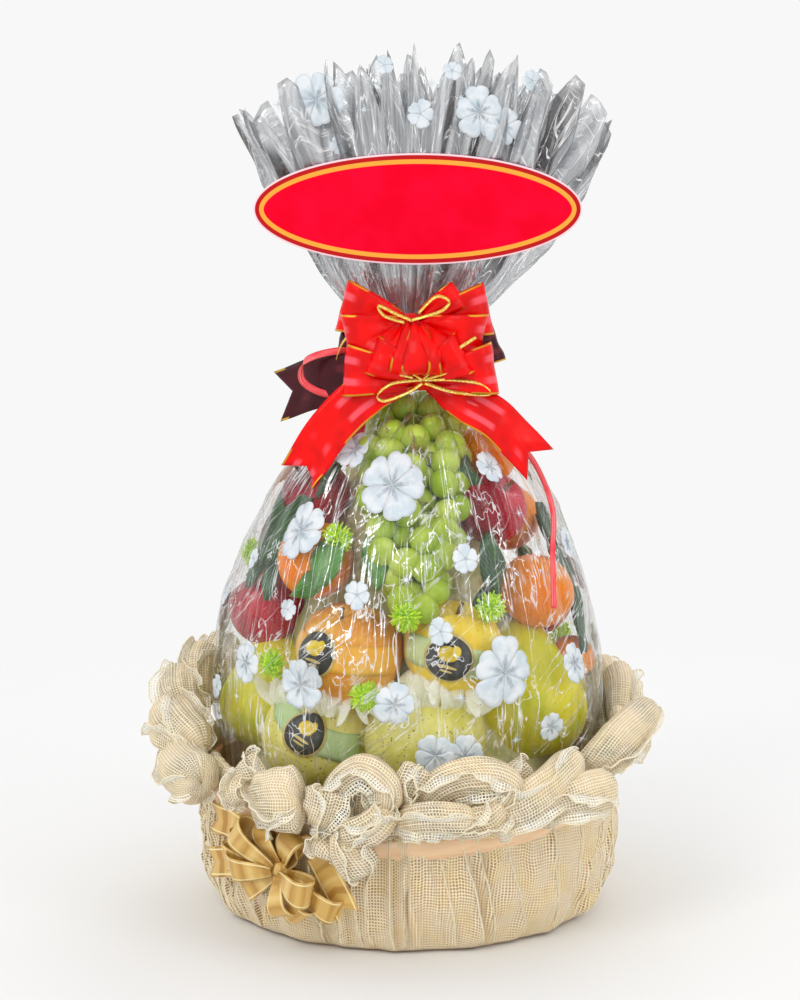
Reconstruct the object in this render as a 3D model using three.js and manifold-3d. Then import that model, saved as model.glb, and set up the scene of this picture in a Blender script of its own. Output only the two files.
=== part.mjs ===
// A fruit gift basket: a round basket dressed in pleated net, a ruffle of the same net round its rim,
// a satin band, a gold bow, a bag of clear film full of fruit with a pleated crest, a red bow at its
// neck and a blank oval card on the crest.
// Millimetres. +X is right and +Z is up, seen from the front, and -Y is the front.
// The origin is the centre of the basket's base, on the surface that it stands on.

import * as THREE from 'three';
import Module from 'manifold-3d';
import { mergeVertices } from 'three/addons/utils/BufferGeometryUtils.js';

const wasm = await Module();
wasm.setup();

// Basket
const BASE_RADIUS = 174;
const WAIST_RADIUS = 190;
const WAIST_HEIGHT = 60;
const RIM_RADIUS = 191;
const RIM_FRONT = 112;
const RIM_SIDE_RISE = 26;
const WALL = 8;
const FLOOR = 8;
const FOOT_ROUND = 7;
const DRUM_COLUMNS = 64;
const PLEAT_DEPTH = 2.4;

// Satin band
const BAND_FRONT = 98;
const BAND_WIDTH = 17;
const BAND_THICKNESS = 1.6;
const BAND_COLUMNS = 48;

// Gap between pieces that lie on each other
const GAP = 0.4;

// Film bag: height and radius of the bag from its bottom to its neck
const BAG_PROFILE = [
  [8.6, 158], [60, 168], [105, 175], [140, 179], [170, 183], [210, 186], [250, 183.5], [290, 176],
  [330, 164], [360, 152], [395, 134], [425, 113], [450, 93], [475, 70], [500, 48], [526, 34],
];
const NECK_HEIGHT = 526;
const NECK_X = 4;
const BAG_COLUMNS = 64;
const BULGE = 5;
const FLUTE_DEPTH = 4.2;

// Fruit that presses on the film: angle from the front towards +X, height, radius
const FRUIT = [
  [-86, 202, 50], [-42, 180, 48], [8, 187, 50], [60, 199, 52], [104, 196, 50], [148, 200, 50],
  [192, 194, 50], [234, 200, 50],
  [-84, 284, 37], [-24, 261, 50], [19, 266, 48], [66, 306, 37], [112, 284, 42], [158, 290, 42],
  [205, 286, 42], [244, 290, 38],
  [-43, 343, 36], [14, 352, 40], [70, 378, 34], [122, 366, 36], [180, 372, 36], [236, 372, 36],
  [-63, 398, 32], [6, 425, 32], [80, 432, 30], [150, 436, 30], [215, 436, 30],
];

// Crest of the film above the neck: share of its height, half-width and half-depth
const CREST_PROFILE = [
  [0, 34, 32], [0.14, 48, 43], [0.32, 79, 58], [0.55, 111, 74], [0.72, 131, 84], [0.88, 150, 90],
  [1, 160, 93],
];
const CREST_TOP = 812;
const CREST_SIDE_DROP = 56;
const CREST_LEAN = 10;
const CREST_NOTCH = 36;
const CREST_PLEAT = 0.1;
const CREST_FRILLS = [[0.84, 1, 0], [0.62, 0, 1], [0.4, 1, 0], [0.17, 0, 1]];

// Oval card
const CARD_HALF_WIDTH = 148;
const CARD_HALF_HEIGHT = 50;
const CARD_THICKNESS = 3;
const CARD_CENTRE = new THREE.Vector3(8, -70, 655);
const CARD_TILT = THREE.MathUtils.degToRad(9);

// Ruffle: a strip of net gathered along the rim and folded into puffed rolls that lie over each other.
// Each roll has the places that it passes as angle, radius and height, its half-width at its root,
// middle and tip, and its thickness as a share of its width.
const ROLLS = [
  { places: [[-80, 208, 150], [-68, 224, 147], [-54, 230, 144]], widths: [16, 27, 25], flat: 0.85 },
  { places: [[-66, 206, 160], [-76, 222, 174], [-88, 227, 180]], widths: [18, 27, 25], flat: 0.85 },
  { places: [[-84, 206, 168], [-92, 220, 191], [-100, 225, 204]], widths: [16, 25, 23], flat: 0.85 },
  { places: [[-100, 206, 172], [-107, 218, 205], [-113, 222, 222]], widths: [14, 23, 20], flat: 0.85 },
  { places: [[-114, 206, 172], [-119, 217, 210], [-124, 219, 232]], widths: [12, 20, 16], flat: 0.85 },
  { places: [[-40, 202, 128], [-42, 209, 154], [-45, 211, 166]], widths: [12, 19, 16], flat: 0.6 },
  { places: [[-44, 206, 154], [-43, 220, 144], [-41, 225, 134]], widths: [10, 14, 12], flat: 0.8 },
  { places: [[-41, 212, 136], [-32, 225, 143], [-24, 227, 147]], widths: [14, 29, 33], flat: 0.5 },
  { places: [[-23, 206, 121], [-20, 222, 139], [-19, 217, 158]], widths: [9, 18, 20], flat: 0.6 },
  { places: [[-12, 198, 128], [-11, 204, 150], [-10, 204, 162]], widths: [14, 19, 14], flat: 0.5 },
  { places: [[-18, 204, 124], [-17, 213, 157], [-11, 215, 176], [-5, 219, 162], [-5, 224, 140]],
    widths: [11, 13, 13], flat: 0.8 },
  { places: [[-4, 221, 146], [-8, 229, 129], [-15, 231, 119]], widths: [12, 14, 12], flat: 0.75 },
  { places: [[-14, 222, 126], [-13, 227, 107], [-9, 226, 86]], widths: [12, 18, 17], flat: 0.6 },
  { places: [[-15, 206, 120], [-19, 219, 108], [-20, 221, 96]], widths: [10, 14, 12], flat: 0.6 },
  { places: [[-2, 204, 126], [0, 213, 158], [3, 210, 177]], widths: [7, 13, 16], flat: 0.5 },
  { places: [[11, 199, 128], [13, 207, 146], [14, 207, 157]], widths: [16, 20, 16], flat: 0.5 },
  { places: [[-3, 208, 130], [4, 232, 139], [14, 234, 135]], widths: [11, 13, 12], flat: 0.9 },
  { places: [[1, 204, 130], [7, 213, 160], [16, 219, 169], [22, 225, 159], [20, 229, 141]],
    widths: [12, 16, 14], flat: 0.75 },
  { places: [[21, 226, 145], [16, 231, 133], [9, 226, 127]], widths: [12, 13, 11], flat: 0.75 },
  { places: [[24, 202, 132], [27, 205, 158], [31, 205, 169]], widths: [12, 15, 13], flat: 0.5 },
  { places: [[17, 208, 128], [27, 228, 144], [44, 218, 173]], widths: [13, 18, 18], flat: 0.85 },
  { places: [[30, 208, 132], [38, 231, 141], [50, 235, 145]], widths: [12, 19, 21], flat: 0.8 },
  { places: [[50, 204, 148], [58, 221, 174], [78, 232, 192]], widths: [14, 23, 20], flat: 0.8 },
  { places: [[74, 198, 146], [84, 201, 160], [94, 201, 174]], widths: [10, 15, 14], flat: 0.6 },
  { places: [[90, 204, 154], [100, 213, 186], [109, 219, 202]], widths: [13, 23, 20], flat: 0.8 },
  { places: [[106, 204, 152], [114, 216, 184], [122, 222, 200]], widths: [13, 24, 21], flat: 0.8 },
];
// Rolls round the back: angle of each, half-width and rise of its tip
const BACK_ROLLS = [
  [134, 25, 58], [147, 24, 68], [160, 26, 56], [173, 24, 66], [186, 26, 58], [199, 24, 68],
  [212, 26, 58], [225, 24, 62],
];
const ROLL_RINGS = [[0, 1], [0.45, 1], [0.85, 0.94], [1, 0.5]];
const LONG_ROLL_RINGS = [[0, 1], [0.25, 1], [0.5, 1], [0.75, 1], [0.93, 0.9], [1, 0.5]];
const ROLL_SIDES = 6;
const COLLAR_COLUMNS = 42;
const COLLAR_INNER = 188;
const COLLAR_OUTER = 203;
const COLLAR_HEIGHT = 20;

// Ribbons
const RED_WIDTH = 48;
const GOLD_WIDTH = 24;
const RIBBON_THICKNESS = 1.6;
const DRAPE_CLEARANCE = 3.4;
const JOIN_TOLERANCE = 0.15;

// Colours
const NET_CREAM = 0xe4cfa4;
const SATIN_PEACH = 0xe2b792;
const FILM_SILVER = 0xc9cbc8;
const RIBBON_RED = 0xf01a14;
const RIBBON_GOLD = 0xc9a24f;
const CARD_RED = 0xf5062c;

// Point at an angle from the front, a radius and a height
function polar(angle, radius, height) {
  return new THREE.Vector3(radius * Math.sin(angle), -radius * Math.cos(angle), height);
}

// Smooth value through the points of a list, from its first column to another one
function follow(table, at, column = 1) {
  const last = table.length - 1;
  let i = 0;
  while (i < last - 1 && at > table[i + 1][0]) i += 1;
  const [x0, x1] = [table[i][0], table[i + 1][0]];
  const t = THREE.MathUtils.clamp((at - x0) / (x1 - x0), 0, 1);
  const slope = (k) => {
    const a = Math.max(0, k - 1);
    const b = Math.min(last, k + 1);
    return (table[b][column] - table[a][column]) / (table[b][0] - table[a][0]);
  };
  const span = x1 - x0;
  const [y0, y1] = [table[i][column], table[i + 1][column]];
  const [m0, m1] = [slope(i) * span, slope(i + 1) * span];
  const [t2, t3] = [t * t, t * t * t];
  return (2 * t3 - 3 * t2 + 1) * y0 + (t3 - 2 * t2 + t) * m0 + (3 * t2 - 2 * t3) * y1 + (t3 - t2) * m1;
}

// Repeatable uneven number between -1 and 1 for a whole number
function uneven(index) {
  const wave = Math.sin(index * 127.1 + 11.7) * 43758.5453;
  return 2 * (wave - Math.floor(wave)) - 1;
}

// Indexed geometry from points and triangles, turned so that its faces point out
function closedGeometry(points, triangles) {
  let volume = 0;
  for (const [a, b, c] of triangles) {
    volume += points[a].dot(new THREE.Vector3().crossVectors(points[b], points[c]));
  }
  const turned = volume < 0 ? triangles.map(([a, b, c]) => [a, c, b]) : triangles;
  const geometry = new THREE.BufferGeometry();
  geometry.setAttribute('position', new THREE.Float32BufferAttribute(points.flatMap((p) => p.toArray()), 3));
  geometry.setIndex(turned.flat());
  return geometry;
}

// Solid through a row of rings with equal numbers of points, closed by a fan at each end
function loftRings(rings) {
  const count = rings[0].length;
  const points = rings.flat();
  const triangles = [];
  for (let i = 0; i < rings.length - 1; i += 1) {
    for (let j = 0; j < count; j += 1) {
      const next = (j + 1) % count;
      const [a, b] = [i * count + j, i * count + next];
      triangles.push([a, b, b + count], [a, b + count, a + count]);
    }
  }
  for (const [ring, start, flip] of [[rings[0], 0, true], [rings.at(-1), (rings.length - 1) * count, false]]) {
    const centre = ring.reduce((sum, p) => sum.add(p), new THREE.Vector3()).divideScalar(count);
    points.push(centre);
    for (let j = 0; j < count; j += 1) {
      const [a, b] = [start + j, start + ((j + 1) % count)];
      triangles.push(flip ? [b, a, points.length - 1] : [a, b, points.length - 1]);
    }
  }
  return closedGeometry(points, triangles);
}

// Ring of a wall: the rows run round the section of the wall, which closes on itself
function ringWall(columns, rows, place) {
  const points = [];
  const triangles = [];
  for (let i = 0; i < columns; i += 1) {
    for (let j = 0; j < rows; j += 1) points.push(place(i, j));
  }
  for (let i = 0; i < columns; i += 1) {
    const side = ((i + 1) % columns) * rows;
    for (let j = 0; j < rows; j += 1) {
      const up = (j + 1) % rows;
      const [a, b, c, d] = [i * rows + j, side + j, side + up, i * rows + up];
      triangles.push([a, b, c], [a, c, d]);
    }
  }
  return closedGeometry(points, triangles);
}

// Height of the basket's rim, which rises at both sides as a boat's does
function rimHeight(angle) {
  return RIM_FRONT + RIM_SIDE_RISE * Math.sin(angle) ** 2;
}

// Outer radius of the basket without its pleats
function drumRadius(height) {
  const t = THREE.MathUtils.clamp(height / WAIST_HEIGHT, 0, 1);
  const flare = THREE.MathUtils.clamp((height - WAIST_HEIGHT) / (RIM_FRONT - WAIST_HEIGHT), 0, 1);
  return BASE_RADIUS + (WAIST_RADIUS - BASE_RADIUS) * Math.sin(t * Math.PI / 2) + (RIM_RADIUS - WAIST_RADIUS) * flare;
}

// Relief of the slanting pleats of net, flattened under the band
function pleat(angle, height) {
  const slant = (height - WAIST_HEIGHT) * 0.004;
  const folds = 0.6 * Math.sin(14 * (angle + slant)) + 0.4 * Math.sin(23 * (angle - slant * 1.4) + 1.3);
  const bandDistance = Math.abs(height - BAND_FRONT - RIM_SIDE_RISE * Math.sin(angle) ** 2);
  const room = THREE.MathUtils.clamp((bandDistance - BAND_WIDTH * 0.6) / 14, 0, 1);
  return PLEAT_DEPTH * folds * room;
}

function basketDrum() {
  const outerShares = [0, 0.04, 0.16, 0.36, 0.56, 0.72, 0.86, 1];
  const rings = [];
  for (const share of outerShares) {
    rings.push((angle) => {
      const height = share * rimHeight(angle);
      const round = share === 0 ? FOOT_ROUND : 0;
      const relief = share === 0 || share === 1 ? 0 : pleat(angle, height);
      return polar(angle, drumRadius(height) - round + relief, height);
    });
  }
  rings.push((angle) => polar(angle, drumRadius(RIM_FRONT) - WALL, rimHeight(angle)));
  rings.push((angle) => polar(angle, drumRadius(WAIST_HEIGHT) - WALL - 3, WAIST_HEIGHT));
  rings.push((angle) => polar(angle, drumRadius(FLOOR) - WALL - 4, FLOOR));
  const loops = rings.map((ring) => {
    const loop = [];
    for (let i = 0; i < DRUM_COLUMNS; i += 1) loop.push(ring((2 * Math.PI * i) / DRUM_COLUMNS));
    return loop;
  });
  return loftRings(loops);
}

function satinBand() {
  const inner = RIM_RADIUS + GAP + 0.6;
  return ringWall(BAND_COLUMNS, 4, (column, row) => {
    const angle = (2 * Math.PI * column) / BAND_COLUMNS;
    const middle = BAND_FRONT + RIM_SIDE_RISE * Math.sin(angle) ** 2 + 1.5 * Math.sin(3 * angle + 0.6);
    const top = row === 1 || row === 2;
    const outside = row >= 2;
    const height = middle + (top ? 0.5 : -0.5) * BAND_WIDTH;
    const radius = inner + (outside ? BAND_THICKNESS : 0);
    return polar(angle, radius, height);
  });
}

// Value that goes straight from the first to the second and on to the third number over a share
function throughThree([first, second, third], share) {
  return share < 0.5 ? first + (second - first) * share * 2 : second + (third - second) * (share * 2 - 1);
}

// Puffed roll of net along a curve: its sections lie flat against the basket and its tip is rounded
function rollGeometry({ places, widths, flat }) {
  const points = places.map(([degrees, radius, height]) => polar(THREE.MathUtils.degToRad(degrees), radius, height));
  const curve = new THREE.CatmullRomCurve3(points);
  const sections = places.length > 3 ? LONG_ROLL_RINGS : ROLL_RINGS;
  return loftRings(sections.map(([share, fullness]) => {
    const centre = curve.getPoint(share);
    const ahead = curve.getTangent(share);
    const outward = new THREE.Vector3(centre.x, centre.y, 0).normalize();
    const wide = new THREE.Vector3().crossVectors(ahead, outward).normalize();
    const thick = new THREE.Vector3().crossVectors(wide, ahead);
    const half = throughThree(widths, share) * fullness;
    return Array.from({ length: ROLL_SIDES }, (_, i) => {
      const turn = (2 * Math.PI * i) / ROLL_SIDES;
      return centre.clone()
        .addScaledVector(wide, half * Math.cos(turn))
        .addScaledVector(thick, half * flat * Math.sin(turn));
    });
  }));
}

function backRoll([degrees, half, rise]) {
  const rim = rimHeight(THREE.MathUtils.degToRad(degrees));
  return {
    places: [[degrees - 7, 203, rim + 9], [degrees, 223, rim + rise * 0.6], [degrees + 8, 229, rim + rise]],
    widths: [12, half, half - 4],
    flat: 0.75,
  };
}

// The gathered foot of the strip, on the rim, and all the rolls that rise from it
function meshRuffle() {
  const collar = ringWall(COLLAR_COLUMNS, 4, (column, row) => {
    const angle = (2 * Math.PI * column) / COLLAR_COLUMNS;
    const top = row === 1 || row === 2;
    const radius = row >= 2 ? COLLAR_OUTER : COLLAR_INNER;
    const inset = top ? 2 : 0;
    const height = rimHeight(angle) + 2 * GAP + (top ? COLLAR_HEIGHT : 0);
    return polar(angle, radius - (row >= 2 ? inset : 0), height);
  });
  return fuse([collar, ...ROLLS.map(rollGeometry), ...BACK_ROLLS.map((row) => rollGeometry(backRoll(row)))]);
}

// Angle between two directions round the axis, in radians
function turnBetween(a, b) {
  const turn = Math.abs(a - b) % (2 * Math.PI);
  return Math.min(turn, 2 * Math.PI - turn);
}

// Radius of the film bag, pressed out by the fruit and fluted towards the neck
function bagRadius(angle, height) {
  const plain = follow(BAG_PROFILE, height);
  let press = 0;
  for (const [degrees, level, size] of FRUIT) {
    const around = turnBetween(angle, THREE.MathUtils.degToRad(degrees)) * plain;
    const distance = Math.hypot(around, height - level) / size;
    press = Math.max(press, 1 - distance * distance);
  }
  const flutes = 0.6 * Math.cos(18 * angle + 0.4) + 0.4 * Math.cos(11 * angle + height * 0.02);
  const fluted = THREE.MathUtils.smoothstep(height, 300, 450);
  const relief = height < 150 ? 0 : BULGE * press * (1 - 0.6 * fluted) - 2;
  const shrink = THREE.MathUtils.smoothstep(height, 450, NECK_HEIGHT);
  return plain + relief * (1 - shrink) + FLUTE_DEPTH * fluted * flutes * (1 - 0.5 * shrink);
}

function bagCentre(height) {
  return NECK_X * THREE.MathUtils.smoothstep(height, 300, NECK_HEIGHT);
}

// Y of the back of the card at a height, less the gap that the film keeps to it
function cardBack(height) {
  const slope = Math.tan(CARD_TILT);
  return CARD_CENTRE.y - slope * (height - CARD_CENTRE.z) + CARD_THICKNESS / 2 / Math.cos(CARD_TILT) + GAP;
}

// Point of the crest: column round it, share of its height, share of its width and notch of its edge
function crestPoint(column, share, inward, notch) {
  const angle = (2 * Math.PI * column) / BAG_COLUMNS;
  const outward = column % 2 === 0 ? 1 : -1;
  const side = Math.sin(angle) ** 2;
  const edge = CREST_TOP - CREST_SIDE_DROP * side * inward + 7 * uneven(column);
  const fold = 1 + CREST_PLEAT * outward * (0.35 + 0.65 * share);
  const x = follow(CREST_PROFILE, share, 1) * fold * inward * Math.sin(angle);
  const y = -follow(CREST_PROFILE, share, 2) * fold * inward * Math.cos(angle);
  const height = NECK_HEIGHT + share * (edge - NECK_HEIGHT) - notch;
  const lean = NECK_X + CREST_LEAN * share;
  return new THREE.Vector3(x + lean, Math.max(y, cardBack(height)), height);
}

function filmWrap() {
  const heights = [];
  for (const level of [8.6, 60, 105, 135, 152]) heights.push(level);
  for (let level = 171; level < 465; level += 25) heights.push(level);
  heights.push(474, 490, 506, 518);
  const rings = heights.map((height) => {
    const ring = [];
    for (let i = 0; i < BAG_COLUMNS; i += 1) {
      const angle = (2 * Math.PI * i) / BAG_COLUMNS;
      ring.push(polar(angle, bagRadius(angle, height), height).add(new THREE.Vector3(bagCentre(height), 0, 0)));
    }
    return ring;
  });
  for (const share of [0.05, 0.16, 0.32, 0.55, 0.8]) {
    rings.push(Array.from({ length: BAG_COLUMNS }, (_, i) => crestPoint(i, share, 1, 0)));
  }
  rings.push(Array.from({ length: BAG_COLUMNS }, (_, i) => crestPoint(i, 1, 1, i % 2 === 0 ? 0 : CREST_NOTCH)));
  for (const [inward, evenNotch, oddNotch] of CREST_FRILLS) {
    rings.push(Array.from({ length: BAG_COLUMNS }, (_, i) => {
      const notch = CREST_NOTCH * (i % 2 === 0 ? evenNotch : oddNotch) + 12;
      return crestPoint(i, 1, inward, notch);
    }));
  }
  return loftRings(rings);
}

function ovalCard() {
  const outline = new THREE.Shape();
  outline.absellipse(0, 0, CARD_HALF_WIDTH, CARD_HALF_HEIGHT, 0, 2 * Math.PI);
  const options = { depth: CARD_THICKNESS, bevelEnabled: false, curveSegments: 28 };
  const geometry = new THREE.ExtrudeGeometry(outline, options);
  geometry.translate(0, 0, -CARD_THICKNESS / 2);
  return geometry;
}

// Point moved straight out from the axis until it is clear of the film by a distance
function clearOfFilm(point, distance) {
  if (point.z > NECK_HEIGHT || point.z < RIM_FRONT) return point;
  const x = point.x - bagCentre(point.z);
  const radius = Math.hypot(x, point.y);
  const wanted = bagRadius(Math.atan2(x, -point.y), point.z) + distance;
  if (radius >= wanted) return point;
  const grow = wanted / radius;
  return new THREE.Vector3(x * grow + bagCentre(point.z), point.y * grow, point.z);
}

// Solid ribbon along a path, with its width and the direction across it at each share of the path.
// A fork cuts a notch into its far end, and a draped ribbon lies on the film.
function ribbonGeometry({ path, width, across, steps, fork = 0, draped = false }) {
  const rings = [];
  for (let i = 0; i <= steps; i += 1) {
    const share = i / steps;
    const centre = path(share);
    const ahead = path(Math.min(1, share + 0.01)).sub(path(Math.max(0, share - 0.01))).normalize();
    const wide = across(share).clone();
    wide.addScaledVector(ahead, -wide.dot(ahead)).normalize();
    const thick = new THREE.Vector3().crossVectors(ahead, wide).multiplyScalar(RIBBON_THICKNESS / 2);
    const half = width(share) / 2;
    const notch = i === steps ? -fork : 0;
    const corners = fork
      ? [[-half, 1, 0], [0, 1, notch], [half, 1, 0], [half, -1, 0], [0, -1, notch], [-half, -1, 0]]
      : [[-half, 1, 0], [half, 1, 0], [half, -1, 0], [-half, -1, 0]];
    const middle = corners.map(([sideways, , back]) => centre.clone()
      .addScaledVector(wide, sideways)
      .addScaledVector(ahead, back));
    const laid = draped ? middle.map((point) => clearOfFilm(point, DRAPE_CLEARANCE)) : middle;
    rings.push(laid.map((point, k) => point.clone().addScaledVector(thick, corners[k][1])));
  }
  return ribbonCaps(rings);
}

// A forked end is concave, so the two halves of an end are closed as quads
function ribbonCaps(rings) {
  const count = rings[0].length;
  const points = rings.flat();
  const triangles = [];
  for (let i = 0; i < rings.length - 1; i += 1) {
    for (let j = 0; j < count; j += 1) {
      const next = (j + 1) % count;
      const [a, b] = [i * count + j, i * count + next];
      triangles.push([a, b, b + count], [a, b + count, a + count]);
    }
  }
  const quads = count === 6 ? [[0, 1, 4, 5], [1, 2, 3, 4]] : [[0, 1, 2, 3]];
  const last = (rings.length - 1) * count;
  for (const [a, b, c, d] of quads) {
    triangles.push([b, a, c], [c, a, d]);
    triangles.push([last + a, last + b, last + c], [last + a, last + c, last + d]);
  }
  return closedGeometry(points, triangles);
}

// Loop of ribbon that leaves a knot at its front, turns at its end and comes back to the knot's back
function loopRibbon({ knot, end, depth, width, pinch, lift, steps = 8, part = 6, root = 6 }) {
  const reach = end.clone().sub(knot);
  const length = reach.length();
  const along = reach.clone().normalize();
  const wide = lift.clone().addScaledVector(along, -lift.dot(along)).normalize();
  const through = new THREE.Vector3().crossVectors(wide, along).normalize();
  if (through.y > 0) through.negate();
  const path = (share) => {
    const round = share * Math.PI;
    const out = root + (length - root) * Math.pow(Math.sin(round), 0.85);
    const front = Math.cos(round) * part + depth * Math.sin(2 * round);
    return knot.clone().addScaledVector(along, out).addScaledVector(through, front);
  };
  return ribbonGeometry({
    path,
    steps,
    width: (share) => pinch + (width - pinch) * Math.pow(Math.sin(share * Math.PI), 0.6),
    across: () => wide,
  });
}

// Tail of ribbon through a few points, from narrow at the knot to its full width
function tailRibbon({ points, width, pinch, acrossStart, acrossEnd, fork, steps = 8, draped = false }) {
  const curve = new THREE.CatmullRomCurve3(points);
  return ribbonGeometry({
    path: (share) => curve.getPoint(share),
    steps,
    fork,
    draped,
    width: (share) => pinch + (width - pinch) * Math.min(1, 2.2 * share),
    across: (share) => acrossStart.clone().lerp(acrossEnd, share),
  });
}

function toSolid(geometry) {
  const merged = geometry.clone();
  merged.deleteAttribute('normal');
  merged.deleteAttribute('uv');
  const welded = mergeVertices(merged, 1e-4);
  return new wasm.Manifold(new wasm.Mesh({
    numProp: 3,
    vertProperties: new Float32Array(welded.attributes.position.array),
    triVerts: new Uint32Array(welded.index.array),
    tolerance: JOIN_TOLERANCE,
  }));
}

function toGeometry(solid) {
  const mesh = solid.getMesh();
  const geometry = new THREE.BufferGeometry();
  geometry.setAttribute('position', new THREE.BufferAttribute(new Float32Array(mesh.vertProperties), 3));
  geometry.setIndex(new THREE.BufferAttribute(new Uint32Array(mesh.triVerts), 1));
  return geometry;
}

function fuse(geometries) {
  return toGeometry(geometries.map(toSolid).reduce((sum, solid) => sum.add(solid)));
}

// Knot: a small rounded body that the loops come out of
function knotGeometry(centre, halfX, halfY, halfZ, detail = 1) {
  const ball = new THREE.IcosahedronGeometry(1, detail);
  ball.scale(halfX, halfY, halfZ);
  ball.translate(centre.x, centre.y, centre.z);
  return ball;
}

const UPPER_KNOT = new THREE.Vector3(2, -66, 553);
const LOWER_KNOT = new THREE.Vector3(12, -72, 503);
// Loops of the red bow: root, far end, depth, lift of the ribbon's width and its own width
const RED_LOOPS = [
  { from: [2, -62, 553], end: [-62, -66, 561], depth: 10, lift: [-0.25, 0, 1] },
  { from: [4, -62, 553], end: [76, -66, 563], depth: 10, lift: [0.3, 0, 1] },
  { from: [0, -80, 549], end: [-50, -86, 531], depth: 9, lift: [0.6, 0, 1] },
  { from: [4, -80, 549], end: [52, -86, 527], depth: 9, lift: [-0.6, 0, 1] },
  { from: [10, -84, 503], end: [-54, -84, 506], depth: 10, lift: [0.2, 0, 1] },
  { from: [14, -84, 503], end: [80, -84, 513], depth: 10, lift: [-0.12, 0, 1] },
  { from: [8, -60, 508], end: [-66, -54, 528], depth: 7, lift: [0.3, 0, 1], width: 36 },
  { from: [14, -60, 508], end: [82, -54, 536], depth: 7, lift: [-0.3, 0, 1], width: 36 },
];

function onFilm(angleDegrees, height, lift) {
  const angle = THREE.MathUtils.degToRad(angleDegrees);
  const point = polar(angle, bagRadius(angle, height) + lift, height);
  point.x += bagCentre(height);
  return point;
}

function redBow() {
  const pieces = [
    knotGeometry(UPPER_KNOT, 14, 26, 14),
    knotGeometry(LOWER_KNOT, 15, 24, 13),
    knotGeometry(new THREE.Vector3(7, -64, 528), 9, 8, 26, 0),
  ];
  for (const loop of RED_LOOPS) {
    pieces.push(loopRibbon({
      knot: new THREE.Vector3(...loop.from),
      end: new THREE.Vector3(...loop.end),
      depth: loop.depth,
      width: loop.width ?? RED_WIDTH,
      pinch: 14,
      part: 4,
      root: 8,
      lift: new THREE.Vector3(...loop.lift),
    }));
  }
  const sideways = new THREE.Vector3(1, 0, 0);
  pieces.push(tailRibbon({
    points: [
      LOWER_KNOT.clone(), new THREE.Vector3(-22, -82, 488), new THREE.Vector3(-60, -88, 462),
      new THREE.Vector3(-100, -84, 421),
    ],
    width: RED_WIDTH, pinch: 18, fork: 16, draped: true,
    acrossStart: new THREE.Vector3(0.6, 0, 0.8), acrossEnd: new THREE.Vector3(0.74, -0.25, -0.66).negate(),
  }));
  pieces.push(tailRibbon({
    points: [
      LOWER_KNOT.clone(), new THREE.Vector3(42, -84, 488), new THREE.Vector3(82, -84, 464),
      new THREE.Vector3(120, -70, 424),
    ],
    width: RED_WIDTH * 0.8, pinch: 18, fork: 16, draped: true,
    acrossStart: new THREE.Vector3(-0.6, 0, 0.8), acrossEnd: new THREE.Vector3(0.7, 0.3, 0.7),
  }));
  pieces.push(tailRibbon({
    points: [
      LOWER_KNOT.clone(), new THREE.Vector3(-30, -82, 502), new THREE.Vector3(-78, -66, 500),
      new THREE.Vector3(-122, -34, 484),
    ],
    width: RED_WIDTH, pinch: 20, fork: 18,
    acrossStart: new THREE.Vector3(0, 0, 1), acrossEnd: new THREE.Vector3(0.1, 0.1, 1),
  }));
  const strip = [LOWER_KNOT.clone(), new THREE.Vector3(50, -84, 478)];
  for (const [angle, height] of [[62, 445], [70, 415], [58, 375], [47, 335], [43, 300]]) {
    strip.push(onFilm(angle, height, 6));
  }
  pieces.push(tailRibbon({
    points: strip, width: 5, pinch: 5, fork: 0, steps: 18, draped: true,
    acrossStart: sideways, acrossEnd: sideways,
  }));
  return fuse(pieces);
}

// The gold bow lies on the basket's wall, left of the front
const GOLD_ANGLE = THREE.MathUtils.degToRad(-33);
const GOLD_HEIGHT = 76;
const GOLD_OFF_WALL = 14;
// Loops of the gold bow: end to the right along the wall, up, and off the wall; root off the wall
const GOLD_LOOPS = [
  { end: [-36, 34, 12], root: 5, depth: 7, lift: [0.8, 0.7, 0.2] },
  { end: [-62, 12, -2], root: -4, depth: 6, lift: [0.2, 1, 0.2] },
  { end: [-45, -2, 14], root: 6, depth: 6, lift: [0.2, 1, 0.3] },
  { end: [-40, -24, 2], root: -4, depth: 7, lift: [-0.5, 1, 0.2] },
  { end: [10, -38, 10], root: 4, depth: 8, lift: [1, 0.3, 0.2] },
  { end: [34, -14, 18], root: 7, depth: 8, lift: [0.3, 1, 0.1] },
  { end: [52, -32, 0], root: -3, depth: 7, lift: [0.5, 1, 0.2] },
  { end: [16, 34, 4], root: -2, depth: 7, lift: [1, -0.4, 0.2] },
];
const GOLD_TAILS = [
  { ends: [[-48, 24, -2], [-90, 30, 2]], lift: [0.1, 1, 0] },
  { ends: [[-46, -4, -2], [-92, -14, 4]], lift: [0.1, 1, 0] },
  { ends: [[28, 20, -3], [62, -34, 4]], lift: [0.8, 0.6, 0] },
];

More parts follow.
